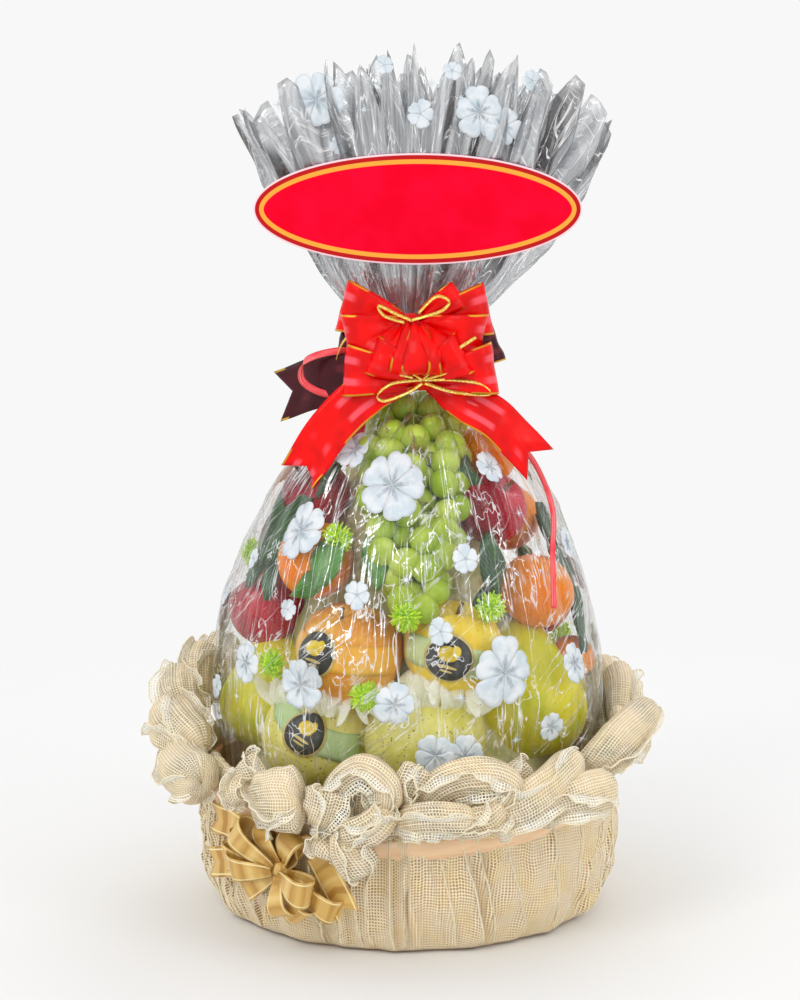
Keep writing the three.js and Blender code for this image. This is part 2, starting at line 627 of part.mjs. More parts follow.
function goldBow() {
  const outward = polar(GOLD_ANGLE, 1, 0);
  const right = new THREE.Vector3(Math.cos(GOLD_ANGLE), Math.sin(GOLD_ANGLE), 0);
  const up = new THREE.Vector3(0, 0, 1);
  const wall = drumRadius(GOLD_HEIGHT) + PLEAT_DEPTH;
  // A place right and up along the wall, and off it, follows the curve of the basket
  const place = ([sideways, rise, off]) => {
    const angle = GOLD_ANGLE + sideways / wall;
    return polar(angle, wall + GOLD_OFF_WALL + off, GOLD_HEIGHT + rise);
  };
  const direction = ([sideways, rise, off]) => right.clone().multiplyScalar(sideways)
    .addScaledVector(up, rise)
    .addScaledVector(outward, off);
  const knot = place([0, 0, 0]);
  const pieces = [knotGeometry(knot, 9, 9, 9)];
  const foot = knotGeometry(new THREE.Vector3(), 9, GOLD_OFF_WALL - GAP, 7, 0);
  foot.rotateZ(GOLD_ANGLE);
  foot.translate(knot.x, knot.y, knot.z);
  pieces.push(foot);
  for (const loop of GOLD_LOOPS) {
    pieces.push(loopRibbon({
      knot: place([0, 0, loop.root]),
      end: place(loop.end),
      depth: loop.depth,
      width: GOLD_WIDTH,
      pinch: 7,
      part: 3,
      root: 5,
      steps: 6,
      lift: direction(loop.lift),
    }));
  }
  for (const tail of GOLD_TAILS) {
    pieces.push(tailRibbon({
      points: [knot.clone(), ...tail.ends.map(place)],
      width: GOLD_WIDTH, pinch: 10, fork: 9, steps: 5,
      acrossStart: direction(tail.lift), acrossEnd: direction(tail.lift),
    }));
  }
  return fuse(pieces);
}

function finish(name, geometry, color, roughness, metalness) {
  const material = new THREE.MeshStandardMaterial({ color, roughness, metalness });
  const mesh = new THREE.Mesh(geometry, material);
  mesh.name = name;
  return mesh;
}

const giftBasket = new THREE.Group();
giftBasket.add(finish('basket_drum', basketDrum(), NET_CREAM, 0.8, 0));
giftBasket.add(finish('satin_band', satinBand(), SATIN_PEACH, 0.45, 0));
giftBasket.add(finish('mesh_ruffle', meshRuffle(), NET_CREAM, 0.7, 0));
giftBasket.add(finish('film_wrap', filmWrap(), FILM_SILVER, 0.15, 0));
giftBasket.add(finish('red_bow', redBow(), RIBBON_RED, 0.35, 0));
giftBasket.add(finish('gold_bow', goldBow(), RIBBON_GOLD, 0.35, 0.2));
const card = finish('oval_card', ovalCard(), CARD_RED, 0.4, 0);
card.position.copy(CARD_CENTRE);
card.rotation.x = Math.PI / 2 + CARD_TILT;
giftBasket.add(card);

export default giftBasket;
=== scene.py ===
# Looks of the fruit gift basket. Lengths in this file are millimetres until a mesh is made of them,
# and angles go round the basket from its front towards the right, in degrees where they are written.
import math

import bpy
import numpy as np
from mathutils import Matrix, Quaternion, Vector


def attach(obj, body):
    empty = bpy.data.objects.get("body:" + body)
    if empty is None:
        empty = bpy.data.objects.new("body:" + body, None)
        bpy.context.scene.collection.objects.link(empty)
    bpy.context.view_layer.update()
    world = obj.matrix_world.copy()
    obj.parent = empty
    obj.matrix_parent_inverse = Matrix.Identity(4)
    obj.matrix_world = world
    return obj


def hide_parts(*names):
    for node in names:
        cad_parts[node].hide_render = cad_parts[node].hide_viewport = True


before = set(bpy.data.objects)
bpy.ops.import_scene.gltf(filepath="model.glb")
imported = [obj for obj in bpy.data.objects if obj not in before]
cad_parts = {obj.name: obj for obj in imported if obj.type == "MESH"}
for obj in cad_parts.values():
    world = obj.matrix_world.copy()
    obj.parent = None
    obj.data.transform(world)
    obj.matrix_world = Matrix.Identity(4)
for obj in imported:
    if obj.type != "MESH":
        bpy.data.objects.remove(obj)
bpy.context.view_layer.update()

MM = 0.001
DEG = math.pi / 180
FULL = 2 * math.pi

# Finish and solid of everything in the bag
BAG = ("film", "film_wrap")

# Basket, net and satin band, the same sizes as their solids
BASE_RADIUS = 174
WAIST_RADIUS = 190
WAIST_HEIGHT = 60
RIM_RADIUS = 191
RIM_FRONT = 112
RIM_SIDE_RISE = 26
PLEAT_DEPTH = 2.4
BAND_FRONT = 98
BAND_WIDTH = 17

# Film bag and its crest, the same sizes as their solid
BAG_PROFILE = np.array([
    [8.6, 158], [60, 168], [105, 175], [140, 179], [170, 183], [210, 186], [250, 183.5], [290, 176],
    [330, 164], [360, 152], [395, 134], [425, 113], [450, 93], [475, 70], [500, 48], [526, 34]])
NECK_HEIGHT = 526
NECK_X = 4
BULGE = 5
FLUTE_DEPTH = 4.2
CREST_PROFILE = np.array([
    [0, 34, 32], [0.14, 48, 43], [0.32, 79, 58], [0.55, 111, 74], [0.72, 131, 84], [0.88, 150, 90],
    [1, 160, 93]])
CREST_TOP = 812
CREST_SIDE_DROP = 56
CREST_LEAN = 10
CREST_PLEATS = 32
NOTCH_DEPTH = 56
TEAR_DEPTH = 20
CARD_CENTRE = np.array([8.0, -70.0, 655.0])
CARD_TILT = 9 * DEG
CARD_HALF_WIDTH = 148
CARD_HALF_HEIGHT = 50
CARD_THICKNESS = 3
GAP = 0.4
FILM_MAP_RADIUS = 0.18

# Fruit that presses on the film: angle, height, radius
PRESSING = [
    [-86, 202, 50], [-42, 180, 48], [8, 187, 50], [60, 199, 52], [104, 196, 50], [148, 200, 50],
    [192, 194, 50], [234, 200, 50],
    [-84, 284, 37], [-24, 261, 50], [19, 266, 48], [66, 306, 37], [112, 284, 42], [158, 290, 42],
    [205, 286, 42], [244, 290, 38],
    [-43, 343, 36], [14, 352, 40], [70, 378, 34], [122, 366, 36], [180, 372, 36], [236, 372, 36],
    [-63, 398, 32], [6, 425, 32], [80, 432, 30], [150, 436, 30], [215, 436, 30]]

# Ruffle: the places that each puffed roll of net passes as angle, radius and height, its half-width at
# its root, middle and tip, and its thickness as a share of its width
ROLLS = [
    ([[-80, 208, 150], [-68, 224, 147], [-54, 230, 144]], [16, 27, 25], 0.85),
    ([[-66, 206, 160], [-76, 222, 174], [-88, 227, 180]], [18, 27, 25], 0.85),
    ([[-84, 206, 168], [-92, 220, 191], [-100, 225, 204]], [16, 25, 23], 0.85),
    ([[-100, 206, 172], [-107, 218, 205], [-113, 222, 222]], [14, 23, 20], 0.85),
    ([[-114, 206, 172], [-119, 217, 210], [-124, 219, 232]], [12, 20, 16], 0.85),
    ([[-40, 202, 128], [-42, 209, 154], [-45, 211, 166]], [12, 19, 16], 0.6),
    ([[-44, 206, 154], [-43, 220, 144], [-41, 225, 134]], [10, 14, 12], 0.8),
    ([[-41, 212, 136], [-32, 225, 143], [-24, 227, 147]], [14, 29, 33], 0.5),
    ([[-23, 206, 121], [-20, 222, 139], [-19, 217, 158]], [9, 18, 20], 0.6),
    ([[-12, 198, 128], [-11, 204, 150], [-10, 204, 162]], [14, 19, 14], 0.5),
    ([[-18, 204, 124], [-17, 213, 157], [-11, 215, 176], [-5, 219, 162], [-5, 224, 140]], [11, 13, 13], 0.8),
    ([[-4, 221, 146], [-8, 229, 129], [-15, 231, 119]], [12, 14, 12], 0.75),
    ([[-14, 222, 126], [-13, 227, 107], [-9, 226, 86]], [12, 18, 17], 0.6),
    ([[-15, 206, 120], [-19, 219, 108], [-20, 221, 96]], [10, 14, 12], 0.6),
    ([[-2, 204, 126], [0, 213, 158], [3, 210, 177]], [7, 13, 16], 0.5),
    ([[11, 199, 128], [13, 207, 146], [14, 207, 157]], [16, 20, 16], 0.5),
    ([[-3, 208, 130], [4, 232, 139], [14, 234, 135]], [11, 13, 12], 0.9),
    ([[1, 204, 130], [7, 213, 160], [16, 219, 169], [22, 225, 159], [20, 229, 141]], [12, 16, 14], 0.75),
    ([[21, 226, 145], [16, 231, 133], [9, 226, 127]], [12, 13, 11], 0.75),
    ([[24, 202, 132], [27, 205, 158], [31, 205, 169]], [12, 15, 13], 0.5),
    ([[17, 208, 128], [27, 228, 144], [44, 218, 173]], [13, 18, 18], 0.85),
    ([[30, 208, 132], [38, 231, 141], [50, 235, 145]], [12, 19, 21], 0.8),
    ([[50, 204, 148], [58, 221, 174], [78, 232, 192]], [14, 23, 20], 0.8),
    ([[74, 198, 146], [84, 201, 160], [94, 201, 174]], [10, 15, 14], 0.6),
    ([[90, 204, 154], [100, 213, 186], [109, 219, 202]], [13, 23, 20], 0.8),
    ([[106, 204, 152], [114, 216, 184], [122, 222, 200]], [13, 24, 21], 0.8)]

# Rolls behind: angle, half-width and rise over the rim
BACK_ROLLS = [
    [134, 25, 58], [147, 24, 68], [160, 26, 56], [173, 24, 66], [186, 26, 58], [199, 24, 68], [212, 26, 58],
    [225, 24, 62]]

# Free edges of the net, its gathered foot on the rim, its weave and its folds
EDGE_WIDTH = 8
EDGE_WAVE = 2.5
COLLAR_INNER = 188
COLLAR_OUTER = 203
COLLAR_HEIGHT = 20
NET_WIDTH = 0.12
NET_CELL = 2.8
NET_LIFT = 2.1
BAND_LIFT = 3.6
FOLD_PITCH = 22.0
FOLD_HEIGHT = 7.0
ROLL_STEPS = 121
ROLL_LIP = 0.3
ROLL_CLOSING = 0.998

# Camera: where it stands, how far it looks down, and its lens
CAMERA_PLACE = (-0.008, -1.9, 0.60)
CAMERA_DOWN = 0.1134
CAMERA_LENS = 72.465
CAMERA_SENSOR = 36

# Floor: its tone, and the distances in metres where it starts to fade and where it ends
FLOOR_TONE = 236
FLOOR_SOLID = 0.35
FLOOR_GONE = 1.5


# Camera, floor and lights

def linked(name, data):
    thing = bpy.data.objects.new(name, data)
    bpy.context.collection.objects.link(thing)
    return thing


def make_camera():
    data = bpy.data.cameras.new("camera")
    data.lens = CAMERA_LENS
    data.sensor_width = CAMERA_SENSOR
    camera = linked("camera", data)
    camera.location = CAMERA_PLACE
    camera.rotation_euler = (math.pi / 2 - CAMERA_DOWN, 0, 0)
    bpy.context.scene.camera = camera


def area_light(name, place, aim, size, power):
    data = bpy.data.lights.new(name, "AREA")
    data.shape = "RECTANGLE"
    data.size, data.size_y = size
    data.energy = power
    light = linked(name, data)
    light.location = place
    light.rotation_euler = (Vector(aim) - Vector(place)).to_track_quat("-Z", "Y").to_euler()


make_camera()


# Shader maths as plain expressions: a Wire is a socket, and its sums and products add nodes

class Wire:
    def __init__(self, tree, socket):
        self.tree = tree
        self.socket = socket

    def maths(self, operation, *values):
        node = self.tree.nodes.new("ShaderNodeMath")
        node.operation = operation
        for socket, value in zip(node.inputs, values):
            feed(self.tree, socket, value)
        return Wire(self.tree, node.outputs[0])

    def __add__(self, other):
        return self.maths("ADD", self, other)

    def __radd__(self, other):
        return self.maths("ADD", other, self)

    def __sub__(self, other):
        return self.maths("SUBTRACT", self, other)

    def __rsub__(self, other):
        return self.maths("SUBTRACT", other, self)

    def __mul__(self, other):
        return self.maths("MULTIPLY", self, other)

    def __rmul__(self, other):
        return self.maths("MULTIPLY", other, self)

    def __truediv__(self, other):
        return self.maths("DIVIDE", self, other)

    def __pow__(self, other):
        return self.maths("POWER", self, other)

    def most(self, other):
        return self.maths("MAXIMUM", self, other)

    def least(self, other):
        return self.maths("MINIMUM", self, other)

    def size(self):
        return self.maths("ABSOLUTE", self)

    def part(self):
        return self.maths("FRACT", self)

    def wave(self):
        return self.maths("SINE", self)


def feed(tree, socket, value):
    """Three values on a colour socket are the 0 to 255 values that a screen shows; four are linear."""
    if isinstance(value, Wire):
        tree.links.new(value.socket, socket)
    elif socket.type == "RGBA" and len(value) == 3:
        socket.default_value = (*tint(*value), 1.0)
    else:
        socket.default_value = value


class Finish:
    """A material that is put together by calls, each of which adds a node."""

    def __init__(self, name):
        self.material = bpy.data.materials.new(name)
        self.material.use_nodes = True
        self.tree = self.material.node_tree
        self.tree.nodes.clear()

    def add(self, kind, settings=None, output=0, **values):
        node = self.tree.nodes.new("ShaderNode" + kind)
        for key, value in (settings or {}).items():
            setattr(node, key, value)
        sockets = {socket.identifier: socket for socket in node.inputs}
        sockets.update({socket.name.replace(" ", "_"): socket for socket in reversed(node.inputs)
                        if socket.name.replace(" ", "_") not in sockets})
        for key, value in values.items():
            feed(self.tree, sockets[key], value)
        return None if output is None else Wire(self.tree, node.outputs[output])

    def place(self):
        return self.add("TexCoord", output=3)

    def uv(self):
        return self.add("UVMap", {"uv_map": "weave"})

    def axis(self, vector, which):
        return self.add("SeparateXYZ", output="XYZ".index(which), Vector=vector)

    def noise(self, vector, scale, detail=2.0, roughness=0.5, stretch=None):
        if stretch:
            vector = self.add("VectorMath", {"operation": "MULTIPLY"}, Vector=vector, Vector_001=stretch)
        return self.add("TexNoise", Vector=vector, Scale=scale, Detail=detail, Roughness=roughness)

    def cells(self, vector, scale):
        return self.add("TexVoronoi", Vector=vector, Scale=scale)

    def ramp(self, value, low, high):
        return self.add("MapRange", {"interpolation_type": "SMOOTHSTEP"}, Value=value, From_Min=low,
                        From_Max=high)

    def blend(self, share, first, second):
        return self.add("Mix", {"data_type": "RGBA"}, 2, Factor_Float=share, A_Color=first, B_Color=second)

    def patches(self, vector, scale, low, high, detail=3.0, roughness=0.5, stretch=None):
        """Share that goes from 0 to 1 in soft patches."""
        return self.ramp(self.noise(vector, scale, detail, roughness, stretch), low, high)

    def clouds(self, vector, scale, first, second, low=0.35, high=0.65, *grain):
        """Two tones in soft clouds."""
        return self.blend(self.patches(vector, scale, low, high, *grain), first, second)

    def bump(self, height, distance, strength=1.0):
        return self.add("Bump", Height=height, Distance=distance, Strength=strength)

    def done(self, shader):
        self.add("OutputMaterial", output=None, Surface=shader)
        return self.material

    def coated(self, **values):
        """The finished material with one layered surface."""
        return self.done(self.add("BsdfPrincipled", **values))


def tint(red, green, blue):
    """Linear colour from the 0 to 255 values that a screen shows."""
    shares = [channel / 255 for channel in (red, green, blue)]
    return tuple(share / 12.92 if share <= 0.04045 else ((share + 0.055) / 1.055) ** 2.4 for share in shares)


# Materials

def net_finish(name, thread, gold, fill=0.38, behind=None):
    """Open weave on the piece's own map in metres, with a metallic thread that glints here and there.
    Where a second layer lies behind, the holes are not open but show two darker tones of painted shade."""
    make = Finish(name)
    flat = make.uv()
    bend = (make.noise(flat, 24, 2) - 0.5) * 1.8
    sway = (make.noise(flat, 17, 2) - 0.5) * 1.8
    along = make.axis(flat, "X") / (NET_CELL * MM) + bend
    across = make.axis(flat, "Y") / (NET_CELL * MM) + sway
    hole = ((along.part() - 0.5).size() * 2).least((across.part() - 0.5).size() * 2)
    uneven = (make.noise(flat, 150, 2) - 0.5) * 0.5
    threads = make.ramp(fill + uneven - hole, -0.08, 0.08)
    glint = make.patches(flat, 520, 0.56, 0.66, 2, 0.6, (1, 0.35, 1))
    light = make.blend(glint * 0.7, make.clouds(flat, 38, thread, gold, 0.35, 0.7), (255, 246, 206))
    relief = make.bump(1 - hole, 0.0006, 0.6)
    if behind is None:
        return make.coated(Base_Color=light, Roughness=0.6 - glint * 0.25, Metallic=glint * 0.45,
                           Alpha=threads, Sheen_Weight=0.2, Specular_IOR_Level=0.3, Normal=relief)
    # The holes of the second layer are painted shade: clouds of two darker tones.
    shown = make.blend(threads, make.clouds(flat, 21, *behind, 0.38, 0.62), light)
    return make.coated(Base_Color=shown, Roughness=0.7, Metallic=threads * glint * 0.35,
                       Specular_IOR_Level=0.2, Normal=relief)


def liner_finish(name):
    make = Finish(name)
    spot = make.place()
    # The liner's own peach, in tones darkened as painted shade where it lies under the net.
    colour = make.clouds(spot, 9, (208, 152, 102), (234, 186, 138), 0.3, 0.7)
    fine = make.bump(make.noise(spot, 900, 2), 0.0004, 0.4)
    return make.coated(Base_Color=colour, Roughness=0.75, Normal=fine)


def satin_finish(name, base, shade, light):
    make = Finish(name)
    flat = make.uv()
    streak = make.noise(flat, 30, 3, 0.6, (0.35, 4.0, 1))
    colour = make.blend(make.ramp(streak, 0.3, 0.55), shade, base)
    colour = make.blend(make.ramp(streak, 0.55, 0.75) * 0.6, colour, light)
    threads = make.noise(flat, 1800, 1, 0.5, (0.2, 1.0, 1))
    return make.coated(Base_Color=colour, Roughness=0.42, Sheen_Weight=0.3, Coat_Weight=0.12,
                       Coat_Roughness=0.35, Normal=make.bump(threads, 0.0002, 0.4))


def red_ribbon_finish(name, red, shade, painted_highlight, edge):
    """Glossy ribbon whose map runs 0 to 1 across it: pale bars of painted highlight, and a gold line along
    parts of its edges."""
    make = Finish(name)
    flat = make.uv()
    across = (make.axis(flat, "Y") - 0.5).size() * 2
    colour = make.clouds(flat, 3, shade, red, 0.35, 0.6, 2, 0.5, (1.0, 0.4, 1))
    # Pale bars of painted highlight that run along the ribbon.
    painted_gloss_bar = 1 - make.ramp((across - 0.42).size(), 0.07, 0.2)
    painted_gloss_bar = painted_gloss_bar * make.patches(flat, 2.4, 0.46, 0.56, 1, 0.5, (1.0, 0.1, 1))
    colour = make.blend(painted_gloss_bar * 0.6, colour, painted_highlight)
    rim = make.ramp(across, 0.91, 0.93) * make.patches(flat, 2, 0.48, 0.50, 1, 0.5, (1.0, 0.3, 1))
    ribs = make.noise(flat, 40, 1, 0.5, (40.0, 0.8, 1))
    return make.coated(
        Base_Color=make.blend(rim, colour, edge), Roughness=0.24 + rim * 0.06, Metallic=rim * 0.8,
        Specular_IOR_Level=0.12, Coat_Weight=0.16, Coat_Roughness=0.06, Normal=make.bump(ribs, 0.0004, 0.3))


def gold_ribbon_finish(name):
    """Smooth satin with painted sheen: shade and highlight painted along its length, and a pale line near
    both edges.
    """
    make = Finish(name)
    flat = make.uv()
    across = (make.axis(flat, "Y") - 0.5).size() * 2
    sheen = make.noise(flat, 8, 1, 0.5, (1.0, 0.03, 1))
    # Painted sheen: darker and lighter tones of the satin along its length stand for shade and highlight.
    colour = make.blend(make.ramp(sheen, 0.34, 0.52), (186, 138, 60), (220, 180, 98))
    colour = make.blend(make.ramp(sheen, 0.54, 0.66) * 0.7, colour, (238, 208, 136))
    line = make.ramp(across, 0.74, 0.77) * (1 - make.ramp(across, 0.84, 0.87))
    colour = make.blend(line * 0.9, colour, (250, 234, 176))
    weave = make.noise(flat, 200, 1, 0.5, (6.0, 1.0, 1))
    return make.coated(Base_Color=colour, Roughness=0.38, Metallic=0.08, Coat_Weight=0.2,
                       Coat_Roughness=0.25, Normal=make.bump(weave, 0.0001, 0.15))


def metal_finish(name, colour):
    make = Finish(name)
    tone = make.clouds(make.place(), 700, colour, (255, 236, 150), 0.4, 0.65, 2)
    return make.coated(Base_Color=tone, Metallic=0.75, Roughness=0.3)


def film_finish(name, clear, low, high, deep, gloss, grazing, streaks, lines):
    """Clear film on the piece's own map: see-through, with a mirror share that grows at grazing angles
    and on the creases, which run down from the neck, across it and on a slant. The mirror's colour is
    painted reflection: streaks of a light and a dark tone, dark patches, painted light towards the foot
    of the map, and painted white glints on the creases."""
    make = Finish(name)
    flat = make.uv()

    def crease(vector, middle, width, *grain):
        """Noise, and thin lines where it passes its middle value."""
        noise = make.noise(vector, 1, 3, *grain)
        return noise, 1 - make.ramp((noise - middle).size(), 0.0, width)

    long_noise, long_crease = crease(flat, 0.5, 0.018, 0.55, lines)
    short_noise, short_crease = crease(flat, 0.48, 0.016, 0.6, (34, 26, 1))
    slant = make.add("VectorRotate", {"rotation_type": "Z_AXIS"}, Vector=flat, Angle=0.9)
    slant_noise, slant_crease = crease(slant, 0.5, 0.016, 0.55, (58, 8, 1))
    some = make.patches(flat, 14, 0.44, 0.58, 2)
    few = make.patches(flat, 22, 0.46, 0.58, 1)
    # Thin crease lines that carry painted white glints and a larger mirror share.
    painted_crease_glints = (long_crease * some).most(short_crease * few).most(slant_crease * (1 - some) * 0.8)
    # Painted reflection: streaks of the low and high tones, then patches of the deep tone as dark
    # reflections.
    tone = make.clouds(flat, 1, low, high, 0.36, 0.62, 3, 0.6, (lines[0] * 1.6, lines[1], 1))
    tone = make.clouds(flat, 1, tone, deep, 0.58, 0.62, 2, 0.5, (30, 3, 1))
    # Painted light: lighter towards the foot of the map, against the shade at the crest's foot under the
    # card; the bag's bottom is lightened the same way.
    tone = make.blend((1 - make.ramp(make.axis(flat, "Y"), 0.03, 0.12)) * 0.7, tone, high)
    # Painted white glints along the creases.
    tone = make.blend(painted_crease_glints, tone, (0.95, 0.95, 0.95, 1))
    height = make.noise(flat, 9, 2) + long_noise * 0.8 + short_noise * 0.5 + slant_noise * 0.5
    tilt = make.bump(height, 0.012, 0.5)
    facing = make.add("LayerWeight", output=1, Blend=0.35, Normal=tilt)
    mirror = make.add("BsdfPrincipled", Base_Color=tone, Metallic=0.85, Roughness=0.2, Normal=tilt)
    band = make.patches(flat, 1, 0.56, 0.66, 2, 0.5, (20, 2.2, 1)) * 0.14
    share = (gloss + band + facing * facing * grazing + painted_crease_glints * streaks).least(0.94)
    clear_part = make.add("BsdfTransparent", Color=clear)
    return make.done(make.add("MixShader", Fac=share, Shader=clear_part, Shader_001=mirror))


def print_finish(name, colour):
    """Milky print that lets a little of the film through."""
    make = Finish(name)
    return make.coated(Base_Color=make.clouds(make.place(), 90, colour, (238, 243, 247)), Roughness=0.5,
                       Alpha=0.84, Specular_IOR_Level=0.2)


def skin_finish(name, low, high, speck, pitch, size, gloss, pits=0.0, blush=None):
    """Fruit skin: two tones in clouds, dots of a third, and a blush round the side that faced the sun."""
    make = Finish(name)
    spot = make.place()
    tone = make.clouds(spot, 26, low, high, 0.35, 0.65, 4, 0.6)
    if blush:
        tone = make.clouds(spot, 14, tone, blush, 0.42, 0.66, 3, 0.6, (1, 1, 0.45))
    dots = 1 - make.ramp(make.cells(spot, pitch), size * 0.6, size)
    tone = make.blend(dots * (0.35 + make.patches(spot, 60, 0.4, 0.6, 2) * 0.5), tone, speck)
    grain = make.noise(spot, 420, 3)
    return make.coated(
        Base_Color=tone, Roughness=gloss + (grain - 0.5) * 0.15, Specular_IOR_Level=0.25, Coat_Weight=0.1,
        Coat_Roughness=0.2, Normal=make.bump(grain * 0.4 - dots * pits, 0.0008, 0.45))


def leaf_finish(name, dark, light):
    make = Finish(name)
    flat = make.uv()
    side = (make.axis(flat, "Y") - 0.5).size()
    veins = (make.axis(flat, "X") * 60 - side * 45).wave()
    raised = (1 - make.ramp(side, 0.0, 0.03)).most(make.ramp(veins, 0.86, 0.99) * 0.6)
    tone = make.blend(raised * 0.6, make.clouds(make.place(), 40, dark, light), (150, 178, 96))
    return make.coated(Base_Color=tone, Roughness=0.38, Coat_Weight=0.2, Coat_Roughness=0.25,
                       Normal=make.bump(raised, 0.0006, 0.5))


def plain_finish(name, first, second, scale, roughness, alpha=1.0, painted_glow=0.0):
    """Two close tones in small clouds with a fine grain; where a glow is given, the tones also glow as
    painted light.
    """
    make = Finish(name)
    spot = make.place()
    tone = make.clouds(spot, scale, first, second)
    relief = make.bump(make.noise(spot, scale * 12, 2), 0.0004, 0.3)
    # Where a glow is set, the tones also glow as painted light.
    return make.coated(Base_Color=tone, Roughness=roughness, Alpha=alpha, Normal=relief,
                       **(dict(Emission_Color=tone, Emission_Strength=painted_glow) if painted_glow else {}))


def card_finish(name):
    """The map's first value is the distance from the card's edge in millimetres: a pale edge, a dark line,
    a gold line and the red field inside them."""
    make = Finish(name)
    inset = make.axis(make.uv(), "X")
    field = make.clouds(make.place(), 30, (240, 0, 38), (246, 4, 48))
    tone = make.blend(make.ramp(inset, 1.2, 1.7), (252, 214, 222), (192, 30, 34))
    tone = make.blend(make.ramp(inset, 5.0, 5.5), tone, (255, 170, 66))
    tone = make.blend(make.ramp(inset, 9.0, 9.5), tone, field)
    return make.coated(Base_Color=tone, Roughness=0.5, Specular_IOR_Level=0.04,
                       Normal=make.bump(make.noise(make.place(), 900, 2), 0.0002, 0.15))


# Mesh helpers

def make_piece(name, points, faces, materials, corners=None, face_slots=None, smooth=True):
    """A mesh object from points in millimetres. corners holds the map's values at each face corner."""
    mesh = bpy.data.meshes.new(name)
    mesh.from_pydata((np.asarray(points, float) * MM).tolist(), [], [list(map(int, face)) for face in faces])
    for material in materials:
        mesh.materials.append(material)
    if corners is not None:
        layer = mesh.uv_layers.new(name="weave")
        layer.data.foreach_set("uv", np.asarray(corners, np.float32).ravel())
    if face_slots is not None:
        mesh.polygons.foreach_set("material_index", np.asarray(face_slots, np.int32))
    mesh.polygons.foreach_set("use_smooth", np.full(len(mesh.polygons), smooth))
    mesh.update()
    return linked(name, mesh)


def settle(piece, slot, *nodes):
    """The piece rides on the basket and stands for its solids, which are hidden; the name of its finish is
    not used.
    """
    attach(piece, "root")
    if nodes:
        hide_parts(*nodes)
    return piece


class Heap:
    """Gathers many shapes into one mesh."""

    def __init__(self):
        self.points = []
        self.faces = []
        self.corners = []
        self.slots = []
        self.count = 0

    def put(self, points, faces, corners=None, slot=0):
        self.points.append(np.asarray(points, float))
        self.faces += [[int(index) + self.count for index in face] for face in faces]
        self.slots += [slot] * len(faces) if isinstance(slot, int) else list(slot)
        total = sum(len(face) for face in faces)
        self.corners.append(np.zeros((total, 2)) if corners is None else np.asarray(corners).reshape(-1, 2))
        self.count += len(points)

    def piece(self, name, *materials):
        return make_piece(name, np.concatenate(self.points), self.faces, materials,
                          np.concatenate(self.corners), self.slots)


def unit(vectors):
    return vectors / np.maximum(np.linalg.norm(vectors, axis=-1, keepdims=True), 1e-9)


def all_round(count):
    """Angles once round, as a row."""
    return np.linspace(0, FULL, count, endpoint=False)[None, :]


def together(*values):
    """Values of several grids as one grid of points."""
    return np.stack(np.broadcast_arrays(*values), axis=-1)


def beside(angle):
    """Directions outwards and to the right at an angle round the basket."""
    return polar(angle, 1.0, 0.0), np.array([math.cos(angle), math.sin(angle), 0])


def in_bag(heap, name, *finishes):
    settle(heap.piece(name, *finishes), *BAG)


def quads(rows, columns, wrap, start=0, turned=False):
    """Faces of a grid of points in rows, and for each corner its row and its column."""
    faces = []
    spots = []
    for row in range(rows - 1):
        for column in range(columns if wrap else columns - 1):
            right = (column + 1) % columns
            face = [row * columns + column, row * columns + right, (row + 1) * columns + right,
                    (row + 1) * columns + column]
            spot = [(row, column), (row, column + 1), (row + 1, column + 1), (row + 1, column)]
            if turned:
                face.reverse()
                spot.reverse()
            faces.append([index + start for index in face])
            spots.extend(spot)
    return faces, spots


def surface_normals(grid, wrap):
    if wrap:
        along = np.roll(grid, -1, axis=1) - np.roll(grid, 1, axis=1)
    else:
        along = np.gradient(grid, axis=1)
    return unit(np.cross(along, np.gradient(grid, axis=0)))


def shell(grid, thickness, wrap, mapping=None):
    """Closed thin sheet round a grid of points: points, faces and corner values."""
    rows, columns, _ = grid.shape
    count = rows * columns
    lift = surface_normals(grid, wrap) * thickness / 2
    faces, spots = quads(rows, columns, wrap)
    back, back_spots = quads(rows, columns, wrap, count, True)
    faces += back
    spots += back_spots
    top, end = (rows - 1) * columns, columns - 1
    for column in range(columns if wrap else end):
        right = (column + 1) % columns
        faces += [[column, count + column, count + right, right],
                  [top + column, top + right, count + top + right, count + top + column]]
        spots += [(0, column), (0, column), (0, column + 1), (0, column + 1)]
        spots += [(rows - 1, column), (rows - 1, column + 1), (rows - 1, column + 1), (rows - 1, column)]
    for row in range(0 if wrap else rows - 1):
        left, right = row * columns, row * columns + end
        faces += [[left, left + columns, count + left + columns, count + left],
                  [right, count + right, count + right + columns, right + columns]]
        spots += [(row, 0), (row + 1, 0), (row + 1, 0), (row, 0)]
        spots += [(row, end), (row, end), (row + 1, end), (row + 1, end)]
    corners = None if mapping is None else np.array([mapping[spot] for spot in spots])
    return np.concatenate([(grid + lift).reshape(-1, 3), (grid - lift).reshape(-1, 3)]), faces, corners


def cloth_map(grid, wrap):
    """Length along and across the cloth in metres at each point, with one more column where it wraps."""
    closed = np.concatenate([grid, grid[:, :1]], axis=1) if wrap else grid
    middle = closed[int(closed.shape[0] * 0.6)]
    steps = np.linalg.norm(np.diff(middle, axis=0), axis=1)
    along = np.concatenate([[0], np.cumsum(steps)])
    climb = np.linalg.norm(np.diff(closed, axis=0), axis=2)
    across = np.concatenate([np.zeros((1, closed.shape[1])), np.cumsum(climb, axis=0)])
    mapping = np.empty(closed.shape[:2] + (2,))
    mapping[..., 0] = along[None, :]
    mapping[..., 1] = across
    return mapping * MM, along[-1] * MM, float(across[-1].mean()) * MM


